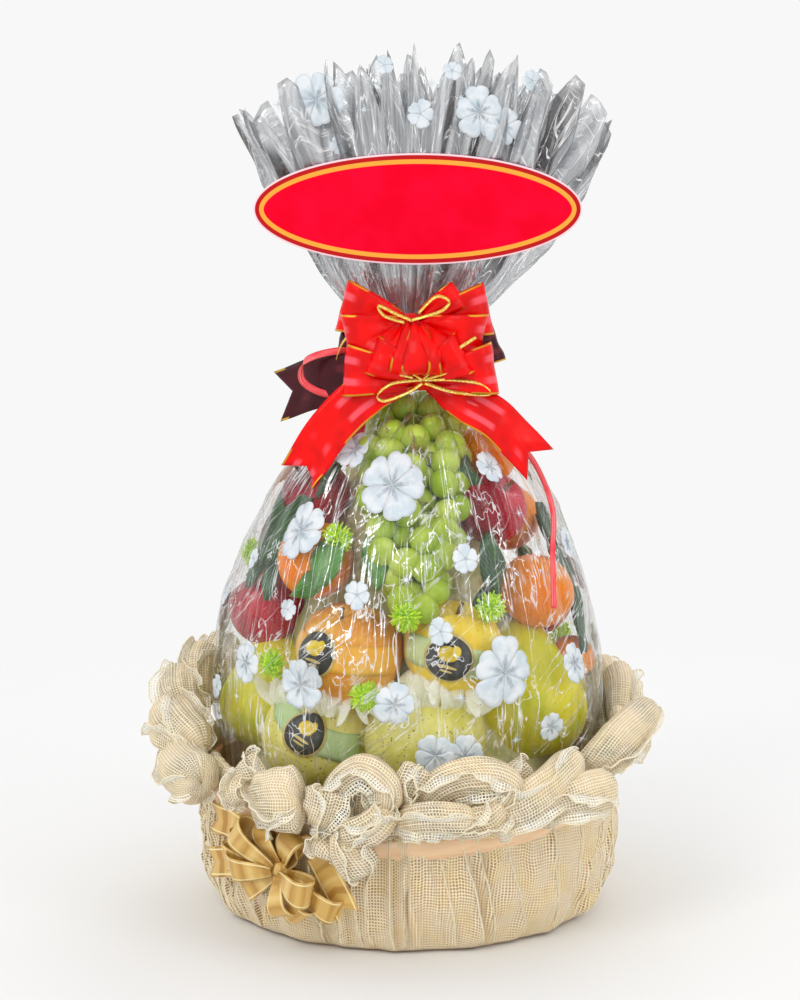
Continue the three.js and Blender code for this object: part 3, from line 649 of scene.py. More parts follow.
def ripples(u, v, wavelength, seed, count=7):
    """Soft uneven waves between about -1 and 1."""
    chooser = np.random.default_rng(seed)
    total = np.zeros(np.broadcast(u, v).shape)
    for _ in range(count):
        heading = chooser.uniform(0, FULL)
        pitch = FULL / (wavelength * chooser.uniform(0.6, 1.7))
        way = u * math.cos(heading) + v * math.sin(heading)
        total = total + np.sin(way * pitch + chooser.uniform(0, 6.3))
    return total / math.sqrt(count)


def polar(angle, radius, height):
    return together(radius * np.sin(angle), -radius * np.cos(angle), height)


def follow(table, at, column=1):
    """Smooth value through the points of a table, from its first column to another one."""
    xs, ys = table[:, 0], table[:, column]
    slopes = np.empty(len(xs))
    slopes[1:-1] = (ys[2:] - ys[:-2]) / (xs[2:] - xs[:-2])
    slopes[0] = (ys[1] - ys[0]) / (xs[1] - xs[0])
    slopes[-1] = (ys[-1] - ys[-2]) / (xs[-1] - xs[-2])
    at = np.asarray(at, float)
    i = np.clip(np.searchsorted(xs, at, side="right") - 1, 0, len(xs) - 2)
    span = xs[i + 1] - xs[i]
    t = np.clip((at - xs[i]) / span, 0, 1)
    return ((2 * t**3 - 3 * t**2 + 1) * ys[i] + (t**3 - 2 * t**2 + t) * slopes[i] * span
            + (3 * t**2 - 2 * t**3) * ys[i + 1] + (t**3 - t**2) * slopes[i + 1] * span)


def smoothstep(value, low, high):
    t = np.clip((np.asarray(value, float) - low) / (high - low), 0, 1)
    return t * t * (3 - 2 * t)


# Geometry Nodes: cords along edges, and small shapes set on points

def node_tree(name, inputs):
    """A node tree with a geometry input and output and the inputs named here."""
    tree = bpy.data.node_groups.new(name, "GeometryNodeTree")
    for label, kind in [("Geometry", "Geometry")] + inputs + [("Material", "Material")]:
        tree.interface.new_socket(label, in_out="INPUT", socket_type="NodeSocket" + kind)
    tree.interface.new_socket("Geometry", in_out="OUTPUT", socket_type="NodeSocketGeometry")
    return tree, tree.nodes.new("NodeGroupInput").outputs


def tree_node(tree, kind, settings=None, **values):
    node = tree.nodes.new(kind)
    for key, value in (settings or {}).items():
        setattr(node, key, value)
    for key, value in values.items():
        socket = node.inputs[key.replace("_", " ")]
        if isinstance(value, bpy.types.NodeSocket):
            tree.links.new(value, socket)
        else:
            socket.default_value = value
    return node


def close_tree(tree, geometry, material):
    real = tree_node(tree, "GeometryNodeRealizeInstances", Geometry=geometry)
    painted = tree_node(tree, "GeometryNodeSetMaterial", Geometry=real.outputs[0], Material=material)
    end = tree.nodes.new("NodeGroupOutput")
    tree.links.new(painted.outputs[0], end.inputs[0])


def cord_tree():
    """Round cord along each line of edges."""
    tree, start = node_tree("cord along edges", [("Radius", "Float"), ("Sides", "Int")])
    line = tree_node(tree, "GeometryNodeMeshToCurve", Mesh=start["Geometry"])
    ring = tree_node(tree, "GeometryNodeCurvePrimitiveCircle", Radius=start["Radius"],
                     Resolution=start["Sides"])
    tube = tree_node(tree, "GeometryNodeCurveToMesh", Curve=line.outputs[0], Profile_Curve=ring.outputs[0],
                     Fill_Caps=True)
    close_tree(tree, tube.outputs[0], start["Material"])
    return tree


def scatter_tree():
    """A copy of one shape on each point, turned and scaled by the point's own attributes."""
    tree, start = node_tree("shapes on points", [("Shape", "Object")])
    shape = tree_node(tree, "GeometryNodeObjectInfo", Object=start["Shape"])
    kind = {"data_type": "FLOAT_VECTOR"}
    turn = tree_node(tree, "GeometryNodeInputNamedAttribute", kind, Name="turn")
    size = tree_node(tree, "GeometryNodeInputNamedAttribute", kind, Name="size")
    spin = tree_node(tree, "FunctionNodeEulerToRotation", Euler=turn.outputs[0])
    points = tree_node(tree, "GeometryNodeMeshToPoints", Mesh=start["Geometry"])
    copies = tree_node(tree, "GeometryNodeInstanceOnPoints", Points=points.outputs[0],
                       Instance=shape.outputs["Geometry"], Rotation=spin.outputs[0], Scale=size.outputs[0])
    close_tree(tree, copies.outputs[0], start["Material"])
    return tree


CORD_TREE = cord_tree()
SCATTER_TREE = scatter_tree()


def grown(name, points, edges, tree, values, material, vectors=()):
    """A plain mesh that a node tree grows on points in millimetres, their edges and their own vectors."""
    start = bpy.data.meshes.new(name)
    start.from_pydata((np.asarray(points, float) * MM).tolist(), edges, [])
    for label, rows in vectors:
        layer = start.attributes.new(label, "FLOAT_VECTOR", "POINT")
        layer.data.foreach_set("vector", np.asarray(rows, np.float32).ravel())
    source = linked(name, start)
    modifier = source.modifiers.new("grow", "NODES")
    modifier.node_group = tree
    values = {**values, "Material": material}
    for item in tree.interface.items_tree:
        if item.in_out == "INPUT" and item.name in values:
            modifier[item.identifier] = values[item.name]
    source.update_tag()
    evaluated = source.evaluated_get(bpy.context.evaluated_depsgraph_get())
    mesh = bpy.data.meshes.new_from_object(evaluated)
    mesh.name = name
    source.modifiers.remove(modifier)
    bpy.data.objects.remove(source)
    mesh.materials.clear()
    mesh.materials.append(material)
    mesh.polygons.foreach_set("material_index", np.zeros(len(mesh.polygons), np.int32))
    mesh.polygons.foreach_set("use_smooth", np.ones(len(mesh.polygons), bool))
    return linked(name, mesh)


def cords(name, lines, radius, material, sides=5):
    """Round cords along lines of points in millimetres."""
    points, edges = [], []
    for line in lines:
        first = len(points)
        points.extend(np.asarray(line, float).tolist())
        edges += [(index, index + 1) for index in range(first, len(points) - 1)]
    return grown(name, points, edges, CORD_TREE, {"Radius": radius * MM, "Sides": sides}, material)


def scattered(name, shape, places, turns, sizes, material):
    """Copies of a shape on places in millimetres, with turns in radians and sizes as factors."""
    vectors = (("turn", turns), ("size", sizes))
    piece = grown(name, places, [], SCATTER_TREE, {"Shape": shape}, material, vectors)
    bpy.data.objects.remove(shape)
    return piece


# Basket

def rim_height(angle):
    return RIM_FRONT + RIM_SIDE_RISE * np.sin(angle) ** 2


def drum_radius(height):
    t = np.clip(np.asarray(height, float) / WAIST_HEIGHT, 0, 1)
    flare = np.clip((np.asarray(height, float) - WAIST_HEIGHT) / (RIM_FRONT - WAIST_HEIGHT), 0, 1)
    return (BASE_RADIUS + (WAIST_RADIUS - BASE_RADIUS) * np.sin(t * math.pi / 2)
            + (RIM_RADIUS - WAIST_RADIUS) * flare)


def band_height(angle):
    return BAND_FRONT + RIM_SIDE_RISE * np.sin(angle) ** 2


def pleat(angle, height):
    slant = (height - WAIST_HEIGHT) * 0.004
    folds = 0.6 * np.sin(14 * (angle + slant)) + 0.4 * np.sin(23 * (angle - slant * 1.4) + 1.3)
    away = np.abs(height - band_height(angle))
    return PLEAT_DEPTH * folds * np.clip((away - BAND_WIDTH * 0.6) / 14, 0, 1)


def net_skin(thread, cord):
    """The net that covers the wall, gathered into slanting folds that lie over each other, and the hem
    lines of the folds."""
    rows = 44
    angle = all_round(720)
    length_round = angle * WAIST_RADIUS
    share = np.linspace(0.015, 1.0, rows)[:, None]
    height = share * rim_height(angle)
    foot = 6 * (1 - smoothstep(height, 0, 7)) ** 2
    radius = drum_radius(height) - foot + pleat(angle, height) + NET_LIFT
    fold_at = angle * 180 + 5 * np.sin(angle * 31 + height * 0.03)
    fold_at = fold_at + ripples(length_round, height, 160, 3) * 9
    fold_at = fold_at + (height - 50) * 0.26 * np.sin(3 * angle + 0.8)
    phase = fold_at / FOLD_PITCH + 0.6 * np.sin(angle * 5)
    saw = phase - np.floor(phase)
    ridge = 0.86
    edge = np.where(saw < ridge, saw / ridge, (1 - saw) / (1 - ridge))
    pressed = 1 - 0.75 * np.exp(-((height - band_height(angle)) / 11.0) ** 2)
    uneven = 0.75 + 0.5 * np.sin(angle * 17 + 2)
    radius = radius + (FOLD_HEIGHT * uneven * edge**1.4 - 0.6) * pressed * smoothstep(share, 0, 0.12)
    radius = radius + 0.8 * ripples(length_round, height, 24, 8) * pressed
    grid = polar(angle, radius, np.maximum(height, 0.8))
    mapping, length, width = cloth_map(grid, True)
    mapping[..., 1] += mapping[..., 0] * 0.05
    points, faces, corners = shell(grid, 0.7, True, mapping)
    piece = settle(make_piece("net_skin", points, faces, [thread], corners), "net")
    creases = []
    for start in range(int(phase[0].min()) + 1, int(phase[0].max())):
        column = np.argmin(np.abs(phase - (start + ridge)), axis=1)
        line = grid[np.arange(rows), column]
        creases.append((line + unit(line * [1, 1, 0]) * 0.5)[2:-2:3])
    settle(cords("net_creases", creases, 0.8, cord), "net")


def sampled(table, at):
    """Rows of a table at places between its rows."""
    return np.stack([np.interp(at, np.arange(len(table)), values) for values in table.T], axis=1)


def roll_grid(places, widths, flat, seed, along):
    """Puffed roll of net: rows along it, columns round it. Its tip narrows and folds back in."""
    chooser = np.random.default_rng(seed)
    points = np.array([polar(degrees * DEG, radius, height) for degrees, radius, height in places])
    share = np.concatenate([np.linspace(0, 1, along), np.linspace(0.99, 1 - ROLL_LIP, 8)])
    inside = np.arange(len(share)) >= along
    fine = smooth_path(points, ROLL_STEPS)
    at = share * (ROLL_STEPS - 1)
    centre = sampled(fine, at)
    ahead = unit(sampled(np.gradient(fine, axis=0), at))
    wide = unit(np.cross(ahead, unit(centre * [1, 1, 0])))
    thick = np.cross(wide, ahead)
    tip = np.clip((share - 0.84) / 0.16, 0, 1)
    round_tip = np.sqrt(np.clip(1 - ROLL_CLOSING * tip**2, 0, 1))
    root = np.clip(share / 0.16, 0, 1)
    half = np.interp(share, [0, 0.5, 1], widths) * round_tip * (0.18 + 0.82 * np.sqrt(root))
    mouth = half[along - 1] * 0.86
    half = np.where(inside, mouth * (1 - 0.93 * ((1 - share) / ROLL_LIP) ** 1.5), half)[:, None]
    share = share[:, None]
    turn = all_round(34)
    folds = chooser.integers(9, 14)
    phase = chooser.uniform(0, 6.3)
    ridges = 1 - 2 * np.abs(np.sin(folds * turn / 2 + phase + 0.7 * share))
    gather = 1 + 0.13 * ridges * (1.1 - share) + 0.07 * np.sin(2 * turn + phase + 2 * share)
    soft = 1 + 0.05 * ripples(turn * 20, share * 90, 40, seed + 5) * np.where(inside, 0.3, 1)[:, None]
    swell = half * gather * soft
    return (centre[:, None] + wide[:, None] * (swell * np.cos(turn))[..., None]
            + thick[:, None] * (swell * flat * np.sin(turn))[..., None])


def back_roll(angle, half, rise):
    rim = float(rim_height(angle * DEG))
    places = [[angle - 7, 203, rim + 9], [angle, 223, rim + rise * 0.6], [angle + 8, 229, rim + rise]]
    return places, [12, half, half - 4], 0.75


def grid_area(grid):
    """Area of a grid that wraps round, in square metres."""
    right = np.roll(grid, -1, axis=1)
    sides = np.cross(right[:-1] - grid[:-1], grid[1:] - grid[:-1])
    others = np.cross(right[1:] - grid[1:], right[1:] - right[:-1])
    return (np.linalg.norm(sides, axis=2).sum() + np.linalg.norm(others, axis=2).sum()) / 2 * MM * MM


def collar_grid():
    """The gathered foot of the strip, which bulges over the rim."""
    angle = all_round(600)
    length_round = angle * WAIST_RADIUS
    turn = np.linspace(0, math.pi, 12)[:, None]
    middle = (COLLAR_INNER + COLLAR_OUTER) / 2
    reach = (COLLAR_OUTER - COLLAR_INNER) / 2
    fold = 1.5 * np.sin(96 * angle + 3 * np.sin(5 * angle)) + ripples(length_round, turn * 8, 30, 71)
    radius = middle - reach * np.cos(turn) + fold * np.sin(turn)
    swell = COLLAR_HEIGHT * np.sin(turn) * (1 + 0.1 * ripples(length_round, 0, 60, 72))
    return polar(angle, radius, rim_height(angle) + 2 + swell)


def free_edge(grid, side, seed, rows):
    """The net's free edge, which stands off a roll along a wavy line: a grid whose last row is its rim."""
    chooser = np.random.default_rng(seed)
    share = np.linspace(0, 1, rows)
    turned = side + 3.0 * np.sin(share * 4 + chooser.uniform(0, 6.3))
    column = np.round(turned).astype(int) % grid.shape[1]
    base = grid[np.arange(rows), column]
    kernel = np.array([1, 2, 3, 2, 1]) / 9
    for axis in range(3):
        base[:, axis] = np.convolve(np.pad(base[:, axis], 2, mode="edge"), kernel, mode="valid")
    normal = surface_normals(grid, True)[np.arange(rows), column]
    from_middle = base - grid[:rows].mean(axis=1)
    normal = np.where(np.sum(normal * from_middle, axis=1, keepdims=True) < 0, -normal, normal)
    sideways = np.cross(unit(np.gradient(base, axis=0)), normal)
    width = EDGE_WIDTH * np.sin(math.pi * np.clip(share * 0.92 + 0.06, 0, 1)) ** 0.5
    wave = EDGE_WAVE * np.sin(share * 17 + chooser.uniform(0, 6.3))
    lean = wave + chooser.choice([-1, 1]) * width * 0.7
    steps = np.linspace(-0.12, 1, 5)
    return np.array([base + normal * (width * step)[:, None]
                     + sideways * (lean * max(step, 0) ** 1.5)[:, None] for step in steps])


def put_net(heap, grid, thickness, wrap):
    """Adds a thin sheet of net; one that wraps round has the heap's second finish, whose holes are painted
    shade, inside.
    """
    rows, columns, _ = grid.shape
    skin = (rows - 1) * columns
    slots = [0] * skin + [1] * skin + [0] * (2 * columns) if wrap else 0
    heap.put(*shell(grid, thickness, wrap, cloth_map(grid, wrap)[0]), slots)


def net_ruffle(thread, inner_net_painted_shade, cord):
    """The puffed rolls at the front and at the back, the gathered foot of the net, and its free edges."""
    solid = ("net", "mesh_ruffle")
    edges = Heap()
    hems, sheets = [], []
    index = 0
    back_rolls = [back_roll(*row) for row in BACK_ROLLS]
    for name, rolls in (("net_ruffle", ROLLS), ("net_ruffle_back", back_rolls)):
        heap = Heap()
        area = 0.0
        for places, widths, flat in rolls:
            rows = 60 if len(places) > 3 else 40
            grid = roll_grid(places, widths, flat, 100 + index, rows)
            put_net(heap, grid, 0.5, True)
            area += grid_area(grid)
            hems.append(grid[4:rows - 1, 17 + index % 7])
            for number, side in enumerate((2 + index % 5, 9 + index % 7, 27 + index % 6)):
                edge = free_edge(grid, side, 300 + 3 * index + number, rows - 1)
                put_net(edges, edge, 0.5, False)
                hems.append(edge[-1])
            index += 1
        if rolls is back_rolls:
            foot = collar_grid()
            put_net(heap, foot, 0.6, True)
            area += grid_area(foot)
        sheets.append((settle(heap.piece(name, thread, inner_net_painted_shade), *solid), area))
    edge_piece = settle(edges.piece("net_ruffle_edges", thread), *solid)
    hem = settle(cords("ruffle_hem", hems, 0.7, cord), *solid)
    for (piece, area), others in zip(sheets, ([edge_piece, hem], [])):
        area / NET_WIDTH


def satin_band(satin):
    """Satin ribbon round the wall, slightly twisted and creased."""
    angle = all_round(300)
    across = np.linspace(-0.5, 0.5, 7)[:, None]
    middle = band_height(angle) + 1.5 * np.sin(3 * angle + 0.6)
    width = BAND_WIDTH * (1 + 0.08 * np.sin(5 * angle) + 0.05 * np.sin(13 * angle + 1))
    fold = 0.8 * ripples(angle * WAIST_RADIUS, across * 60, 60, 31) + 0.5 * np.cos(across * FULL)
    grid = polar(angle, RIM_RADIUS + BAND_LIFT + fold, middle + across * width)
    mapping, length, flat_width = cloth_map(grid, True)
    points, faces, corners = shell(grid, 0.8, True, mapping)
    piece = settle(make_piece("band_of_satin", points, faces, [satin], corners), "satin", "satin_band")


# Film

def turn_between(a, b):
    turn = np.mod(np.abs(a - b), FULL)
    return np.minimum(turn, FULL - turn)


def bag_radius(angle, height):
    angle, height = np.broadcast_arrays(np.asarray(angle, float), np.asarray(height, float))
    plain = follow(BAG_PROFILE, height)
    press = np.zeros(angle.shape)
    for degrees, level, size in PRESSING:
        around = turn_between(angle, degrees * DEG) * plain
        press = np.maximum(press, 1 - (around**2 + (height - level) ** 2) / size**2)
    flutes = 0.6 * np.cos(18 * angle + 0.4) + 0.4 * np.cos(11 * angle + height * 0.02)
    fluted = smoothstep(height, 300, 450)
    relief = np.where(height < 150, 0, BULGE * press * (1 - 0.6 * fluted) - 2)
    shrink = smoothstep(height, 450, NECK_HEIGHT)
    return plain + relief * (1 - shrink) + FLUTE_DEPTH * fluted * flutes * (1 - 0.5 * shrink)


def bag_centre(height):
    return NECK_X * smoothstep(height, 300, NECK_HEIGHT)


def bag_reach(height):
    """The bag's plain radius at a height."""
    return float(follow(BAG_PROFILE, height))


def inside_bag(angle, reach, height):
    """Point at a distance from the bag's axis, which leans to its neck."""
    return polar(angle, reach, height) + np.array([float(bag_centre(height)), 0, 0])


def on_bag(angle, height, off=0.0):
    """Point on the film at an angle in radians and a height, lifted off it by a distance."""
    place = polar(angle, bag_radius(angle, height) + off, height)
    place[..., 0] += bag_centre(height)
    return place


def creased_bag(angle, height):
    """Radius of the bag with the small wrinkles of the film."""
    shrink = smoothstep(height, 440, NECK_HEIGHT)
    u = angle * 180
    soft = ripples(u, height, 70, 41)
    sharp = 1 - np.abs(ripples(u, height * 0.6, 55, 42))
    gather = np.abs(np.sin(26 * angle + 0.012 * height * np.sin(3 * angle)))
    return (bag_radius(angle, height) + 1.0 * soft + 1.2 * np.maximum(sharp, 0) ** 3 - 0.6
            - 3.2 * gather * shrink - 1.4 * gather * smoothstep(height, 380, 470))


def film_bag(film):
    """One skin of film from the rim to the neck, closed at both ends."""
    columns = 540
    heights = np.concatenate([np.linspace(8.8, 150, 12), np.linspace(156, 518, 92), [524, 530, 536]])
    angle = all_round(columns)
    height = heights[:, None]
    grid = polar(angle, creased_bag(angle, np.minimum(height, NECK_HEIGHT)), height)
    grid[..., 0] += bag_centre(height)
    rows = len(heights)
    faces, spots = quads(rows, columns, True)
    low, top = rows * columns, rows * columns + 1
    last = (rows - 1) * columns
    around = np.append(angle[0], FULL) * FILM_MAP_RADIUS
    corners = [(around[column], heights[row] * MM) for row, column in spots]
    for column in range(columns):
        right = (column + 1) % columns
        faces += [[right, column, low], [last + column, last + right, top]]
        here, there = around[column], around[column + 1]
        corners += [(there, 0), (here, 0), (here, -0.03), (here, 0.53), (there, 0.53), (here, 0.56)]
    ends = np.array([grid[0].mean(axis=0), grid[-1].mean(axis=0) + [0, 0, 1]])
    points = np.concatenate([grid.reshape(-1, 3), ends])
    settle(make_piece("film_bag", points, faces, [film], corners), *BAG)


def card_back(height):
    return (CARD_CENTRE[1] - math.tan(CARD_TILT) * (height - CARD_CENTRE[2])
            + CARD_THICKNESS / 2 / math.cos(CARD_TILT) + GAP)


def crest_frill(name, film, inward, pleats, drop, seed, deep):
    """One ring of pleated film with a torn, pointed edge."""
    chooser = np.random.default_rng(seed)
    phase = np.linspace(0, pleats, pleats * 10, endpoint=False)
    angle = (phase / pleats * FULL)[None, :]
    angle = angle + 0.07 * np.sin(angle * 7 + seed) + 0.04 * np.sin(angle * 11 + 2 * seed)
    share = np.linspace(0, 1, 34)[:, None]
    nearest = np.floor(phase + 0.5)
    whole = nearest.astype(int) % pleats
    signed = (phase - nearest) * 2
    jitter = chooser.uniform(-1, 1, pleats)
    reach = chooser.uniform(0, 1, pleats)
    skew = chooser.uniform(-0.35, 0.35, pleats)[whole]
    tip = np.clip(1 - np.abs(signed - skew) / (1 - 0.6 * np.abs(skew)), 0, 1)
    torn = reach[whole] * chooser.choice([0.2, 1.0, 1.4], pleats)[whole]
    notch = NOTCH_DEPTH * (1 - tip**0.75) + TEAR_DEPTH * torn
    edge = CREST_TOP - 2 - CREST_SIDE_DROP * np.sin(angle) ** 2 * inward + 2 * jitter[whole] - notch - drop
    fold = (1 - 2 * np.abs(signed))[None, :] * (0.35 + 0.65 * share)
    width = 1 + deep * fold + 0.03 * ripples(angle * 150, share * 260, 70, seed)
    spread = width * (inward + (1 - inward) * (1 - share) * 0.6)
    risen = 0.02 + 0.98 * share
    x = follow(CREST_PROFILE, risen, 1) * spread * np.sin(angle) + NECK_X + CREST_LEAN * risen
    y = -follow(CREST_PROFILE, risen, 2) * spread * np.cos(angle)
    height = NECK_HEIGHT + risen * (edge - NECK_HEIGHT)
    grid = together(x, np.maximum(y, card_back(height) + 0.5), height)
    around = np.append(angle[0], FULL)[None, :] * 0.16
    points, faces, corners = shell(grid, 0.5, True, together(around + seed, share * 0.28))
    settle(make_piece(name, points, faces, [film], corners), *BAG)


# Printed flowers: angle, height, half-size, turn in degrees
FLOWERS = [
    [-8, 411, 28, 5], [27, 250, 30, 12], [-41, 369, 23, 40], [-32, 439, 15, 20], [-4, 226, 18, 0],
    [-31, 238, 22, 30], [7, 181, 18, 50], [15, 179, 18, 15], [-54, 248, 19, 0], [55, 247, 17, 25],
    [44, 194, 13, 0], [-64, 338, 9, 10], [-39, 301, 9, 0], [-16, 318, 12, 60], [9, 288, 11, 30],
    [18, 349, 12, 20], [39.5, 424, 13, 40], [-75, 213, 11, 20], [70, 350, 15, 10], [-80, 300, 12, 0]]
STARS = [[-1, 332, 7], [45, 383, 6], [14, 231, 7], [31, 188, 7], [-35, 384, 6], [20, 366, 6], [-58, 215, 6]]

# Flowers and stars on the crest: place across, height, half-size
CREST_FLOWERS = [[-83, 752, 24], [62, 740, 21], [84, 728, 17], [140, 712, 18], [-22, 780, 8], [38, 775, 8],
                 [10, 738, 12], [-132, 712, 9], [-62, 712, 9], [110, 768, 9]]
CREST_STARS = [[-118, 750, 7], [20, 764, 7], [46, 752, 6], [-40, 742, 6]]
BACK_FLOWERS = 26

PETAL = [(0.04, 0.03), (0.18, 0.12), (0.36, 0.27), (0.55, 0.41), (0.74, 0.48), (0.9, 0.42), (0.99, 0.28),
         (1.02, 0.13), (0.97, 0.0)]
PETAL_LINES = (-0.22, -0.07, 0.07, 0.22)
PRINT_THICKNESS = 0.3


def heart_petal(turn, size):
    """Outline of a petal from the flower's middle: narrow at its foot, broad and notched at its end."""
    edge = smooth_path([(x, y, 0) for x, y in PETAL], 15)[:, :2]
    outline = np.concatenate([edge[:-1], (edge * [1, -1])[::-1]])
    spin = np.array([[math.cos(turn), math.sin(turn)], [-math.sin(turn), math.cos(turn)]])
    return outline @ spin * size


def disc_faces(around, rings):
    """Faces of a closed flat body: two skins, each of rings round a middle point, and the rim between."""
    total = around * rings + 1
    faces = []
    for ring in range(rings - 1):
        for i in range(around):
            a, b = ring * around + i, ring * around + (i + 1) % around
            faces += [[a, b, b + around, a + around],
                      [total + a + around, total + b + around, total + b, total + a]]
    last = (rings - 1) * around
    for i in range(around):
        j = (i + 1) % around
        faces += [[last + i, last + j, total - 1], [total + last + j, total + last + i, 2 * total - 1],
                  [j, i, total + i, total + j]]
    return faces


def print_shape(heap, outline, place, surface, lift):
    """A thin closed print, in rings so that it follows the film."""
    middle = outline.mean(axis=0)
    shares = (1.0, 0.66, 0.33)
    flat = np.concatenate([middle + (outline - middle) * share for share in shares] + [middle[None, :]])
    points = np.concatenate([surface(flat, *place, lift + PRINT_THICKNESS), surface(flat, *place, lift)])
    heap.put(points, disc_faces(len(outline), len(shares)))


def print_line(heap, start, end, width, place, surface, lift):
    way = end - start
    side = np.array([-way[1], way[0]]) / max(np.linalg.norm(way), 1e-6) * width / 2
    steps = np.linspace(0, 1, 4)
    left = [start + way * t + side * (1 - 0.7 * t) for t in steps]
    right = [start + way * t - side * (1 - 0.7 * t) for t in steps[::-1]]
    print_shape(heap, np.array(right[::-1] + left[::-1])[::-1], place, surface, lift)


def flower_print(heap, lines, place, size, turn, surface, lift=0.5):
    """Five petals; the larger flowers have drawn lines on them too."""
    for petal in range(5):
        heading = turn + petal * FULL / 5
        outline = heart_petal(heading, size * (1 + 0.06 * math.sin(3 * petal + size)))
        print_shape(heap, outline, place, surface, lift + 0.05 * petal)
        for offset in PETAL_LINES if size >= 13 else ():
            way = np.array([math.cos(heading + offset), math.sin(heading + offset)]) * size
            inner, outer = 0.10 + 0.05 * abs(offset), 0.42 + 0.16 * math.cos(offset * 9)
            print_line(lines, way * inner, way * outer, size * 0.022 + 0.12, place, surface, lift + 0.62)
    turns = all_round(12)[0]
    ring = np.stack([np.cos(turns), np.sin(turns)], axis=1)
    print_shape(lines, ring * size * 0.05, place, surface, lift + 0.7)


def star_print(heap, place, size, surface, lift=0.5):
    turns = all_round(16)[0]
    reach = np.array([1.0, 0.18, 0.62, 0.18] * 4)
    outline = np.stack([np.cos(turns) * reach, np.sin(turns) * reach], axis=1) * size
    print_shape(heap, outline, place, surface, lift)


def bag_surface(points, angle, height, off):
    spots_angle = angle + points[:, 0] / max(bag_reach(height), 40)
    spots_height = height + points[:, 1]
    place = polar(spots_angle, creased_bag(spots_angle, spots_height) + off, spots_height)
    place[:, 0] += bag_centre(spots_height)
    return place


def crest_surface(points, x, height, side, off):
    """Places just outside the pleats of the crest, at its front (side 1) or its back (side -1)."""
    spots_x = x + points[:, 0]
    spots_height = height + points[:, 1]
    share = np.clip((spots_height - NECK_HEIGHT) / (CREST_TOP - NECK_HEIGHT), 0, 1)
    swell = 1.03 + 0.06 * share
    across = (spots_x - NECK_X - CREST_LEAN * share) / (follow(CREST_PROFILE, share, 1) * swell)
    deep = follow(CREST_PROFILE, share, 2) * swell * np.sqrt(np.clip(1 - across**2, 0.02, 1))
    return np.stack([spots_x, -side * (deep + off), spots_height], axis=1)


def prints_on_bag(white, grey):
    flowers, lines = Heap(), Heap()
    chooser = np.random.default_rng(77)
    for angle, height, size, turn in FLOWERS:
        flower_print(flowers, lines, (angle * DEG, height), size, turn * DEG, bag_surface)
    for angle, height, size in STARS:
        star_print(flowers, (angle * DEG, height), size, bag_surface)
    for step in range(BACK_FLOWERS):
        angle = 92 + step * 6.8 + chooser.uniform(-3, 3)
        height = [190, 255, 325, 395][step % 4] + chooser.uniform(-22, 22)
        size = [24, 14, 18, 11, 16][step % 5]
        flower_print(flowers, lines, (angle * DEG, height), size, chooser.uniform(0, 6), bag_surface)
        if step % 3 == 0:
            star_print(flowers, ((angle + 9) * DEG, height + 34), 6, bag_surface)
    for x, height, size in CREST_FLOWERS:
        for side in (1, -1):
            flower_print(flowers, lines, (x, height, side), size, x, crest_surface, 1.0)
    for x, height, size in CREST_STARS:
        star_print(flowers, (x, height, 1), size, crest_surface, 1.0)
    in_bag(flowers, "printed_flowers", white)
    in_bag(lines, "printed_lines", grey)


# Fruit

def ball(around=40, down=28):
    """Angles from the top of a ball and round it, and the faces between them. The last two points are the
    ball's top and bottom."""
    levels = np.linspace(0, math.pi, down + 1)[1:-1]
    from_top, turn = np.meshgrid(levels, all_round(around)[0], indexing="ij")
    faces, _ = quads(down - 1, around, True)
    faces = [[a, d, c, b] for a, b, c, d in faces]
    top = around * (down - 1)
    last = top - around
    for i in range(around):
        j = (i + 1) % around
        faces += [[i, j, top], [last + j, last + i, top + 1]]
    return from_top, turn, faces


def ray_of(from_top, turn):
    """Direction from the middle of a ball."""
    return together(np.sin(from_top) * np.cos(turn), np.sin(from_top) * np.sin(turn), np.cos(from_top))


def body_radius(form, from_top, turn, seed):
    """Radius of a fruit's skin in a direction, as a share of its half-width."""
    c = np.cos(from_top)
    lumps = 0.012 * np.sin(2 * turn + seed) + 0.010 * np.sin(3 * turn + from_top * 2 + seed * 2)
    if form == "orange":
        return 1 - 0.09 * c**2 - 0.07 * np.exp(-((from_top / 0.2) ** 2)) + lumps * 0.6
    if form == "apple":
        ribs = 0.02 * np.cos(5 * turn + seed) * smoothstep(from_top, 1.2, 2.8)
        return (1 - 0.02 * c - 0.30 * np.exp(-((from_top / 0.36) ** 2))
                - 0.16 * np.exp(-(((math.pi - from_top) / 0.3) ** 2)) + ribs + lumps)
    if form == "round_pear":
        ridges = 0.015 * np.sin(6 * turn + seed) * np.sin(from_top) + 0.012 * np.sin(9 * turn - from_top * 5)
        return (1 - 0.10 * c**2 - 0.16 * np.exp(-((from_top / 0.26) ** 2))
                - 0.12 * np.exp(-(((math.pi - from_top) / 0.25) ** 2)) + lumps + ridges)
    neck = 0.62 * np.exp(-((from_top / 0.55) ** 2))
    return 0.98 + neck - 0.06 * c**2 - 0.10 * np.exp(-(((math.pi - from_top) / 0.28) ** 2)) + lumps * 1.8


def tilt_frame(facing, lean, spin):
    """Axes of a fruit that leans outwards at an angle round the basket."""
    out, side = beside(facing)
    rise = np.array([0, 0, 1])
    up = math.cos(lean) * rise + math.sin(lean) * out
    forward = math.cos(lean) * out - math.sin(lean) * rise
    x = math.cos(spin) * side + math.sin(spin) * forward
    y = -math.sin(spin) * side + math.cos(spin) * forward
    return np.stack([x, y, up])


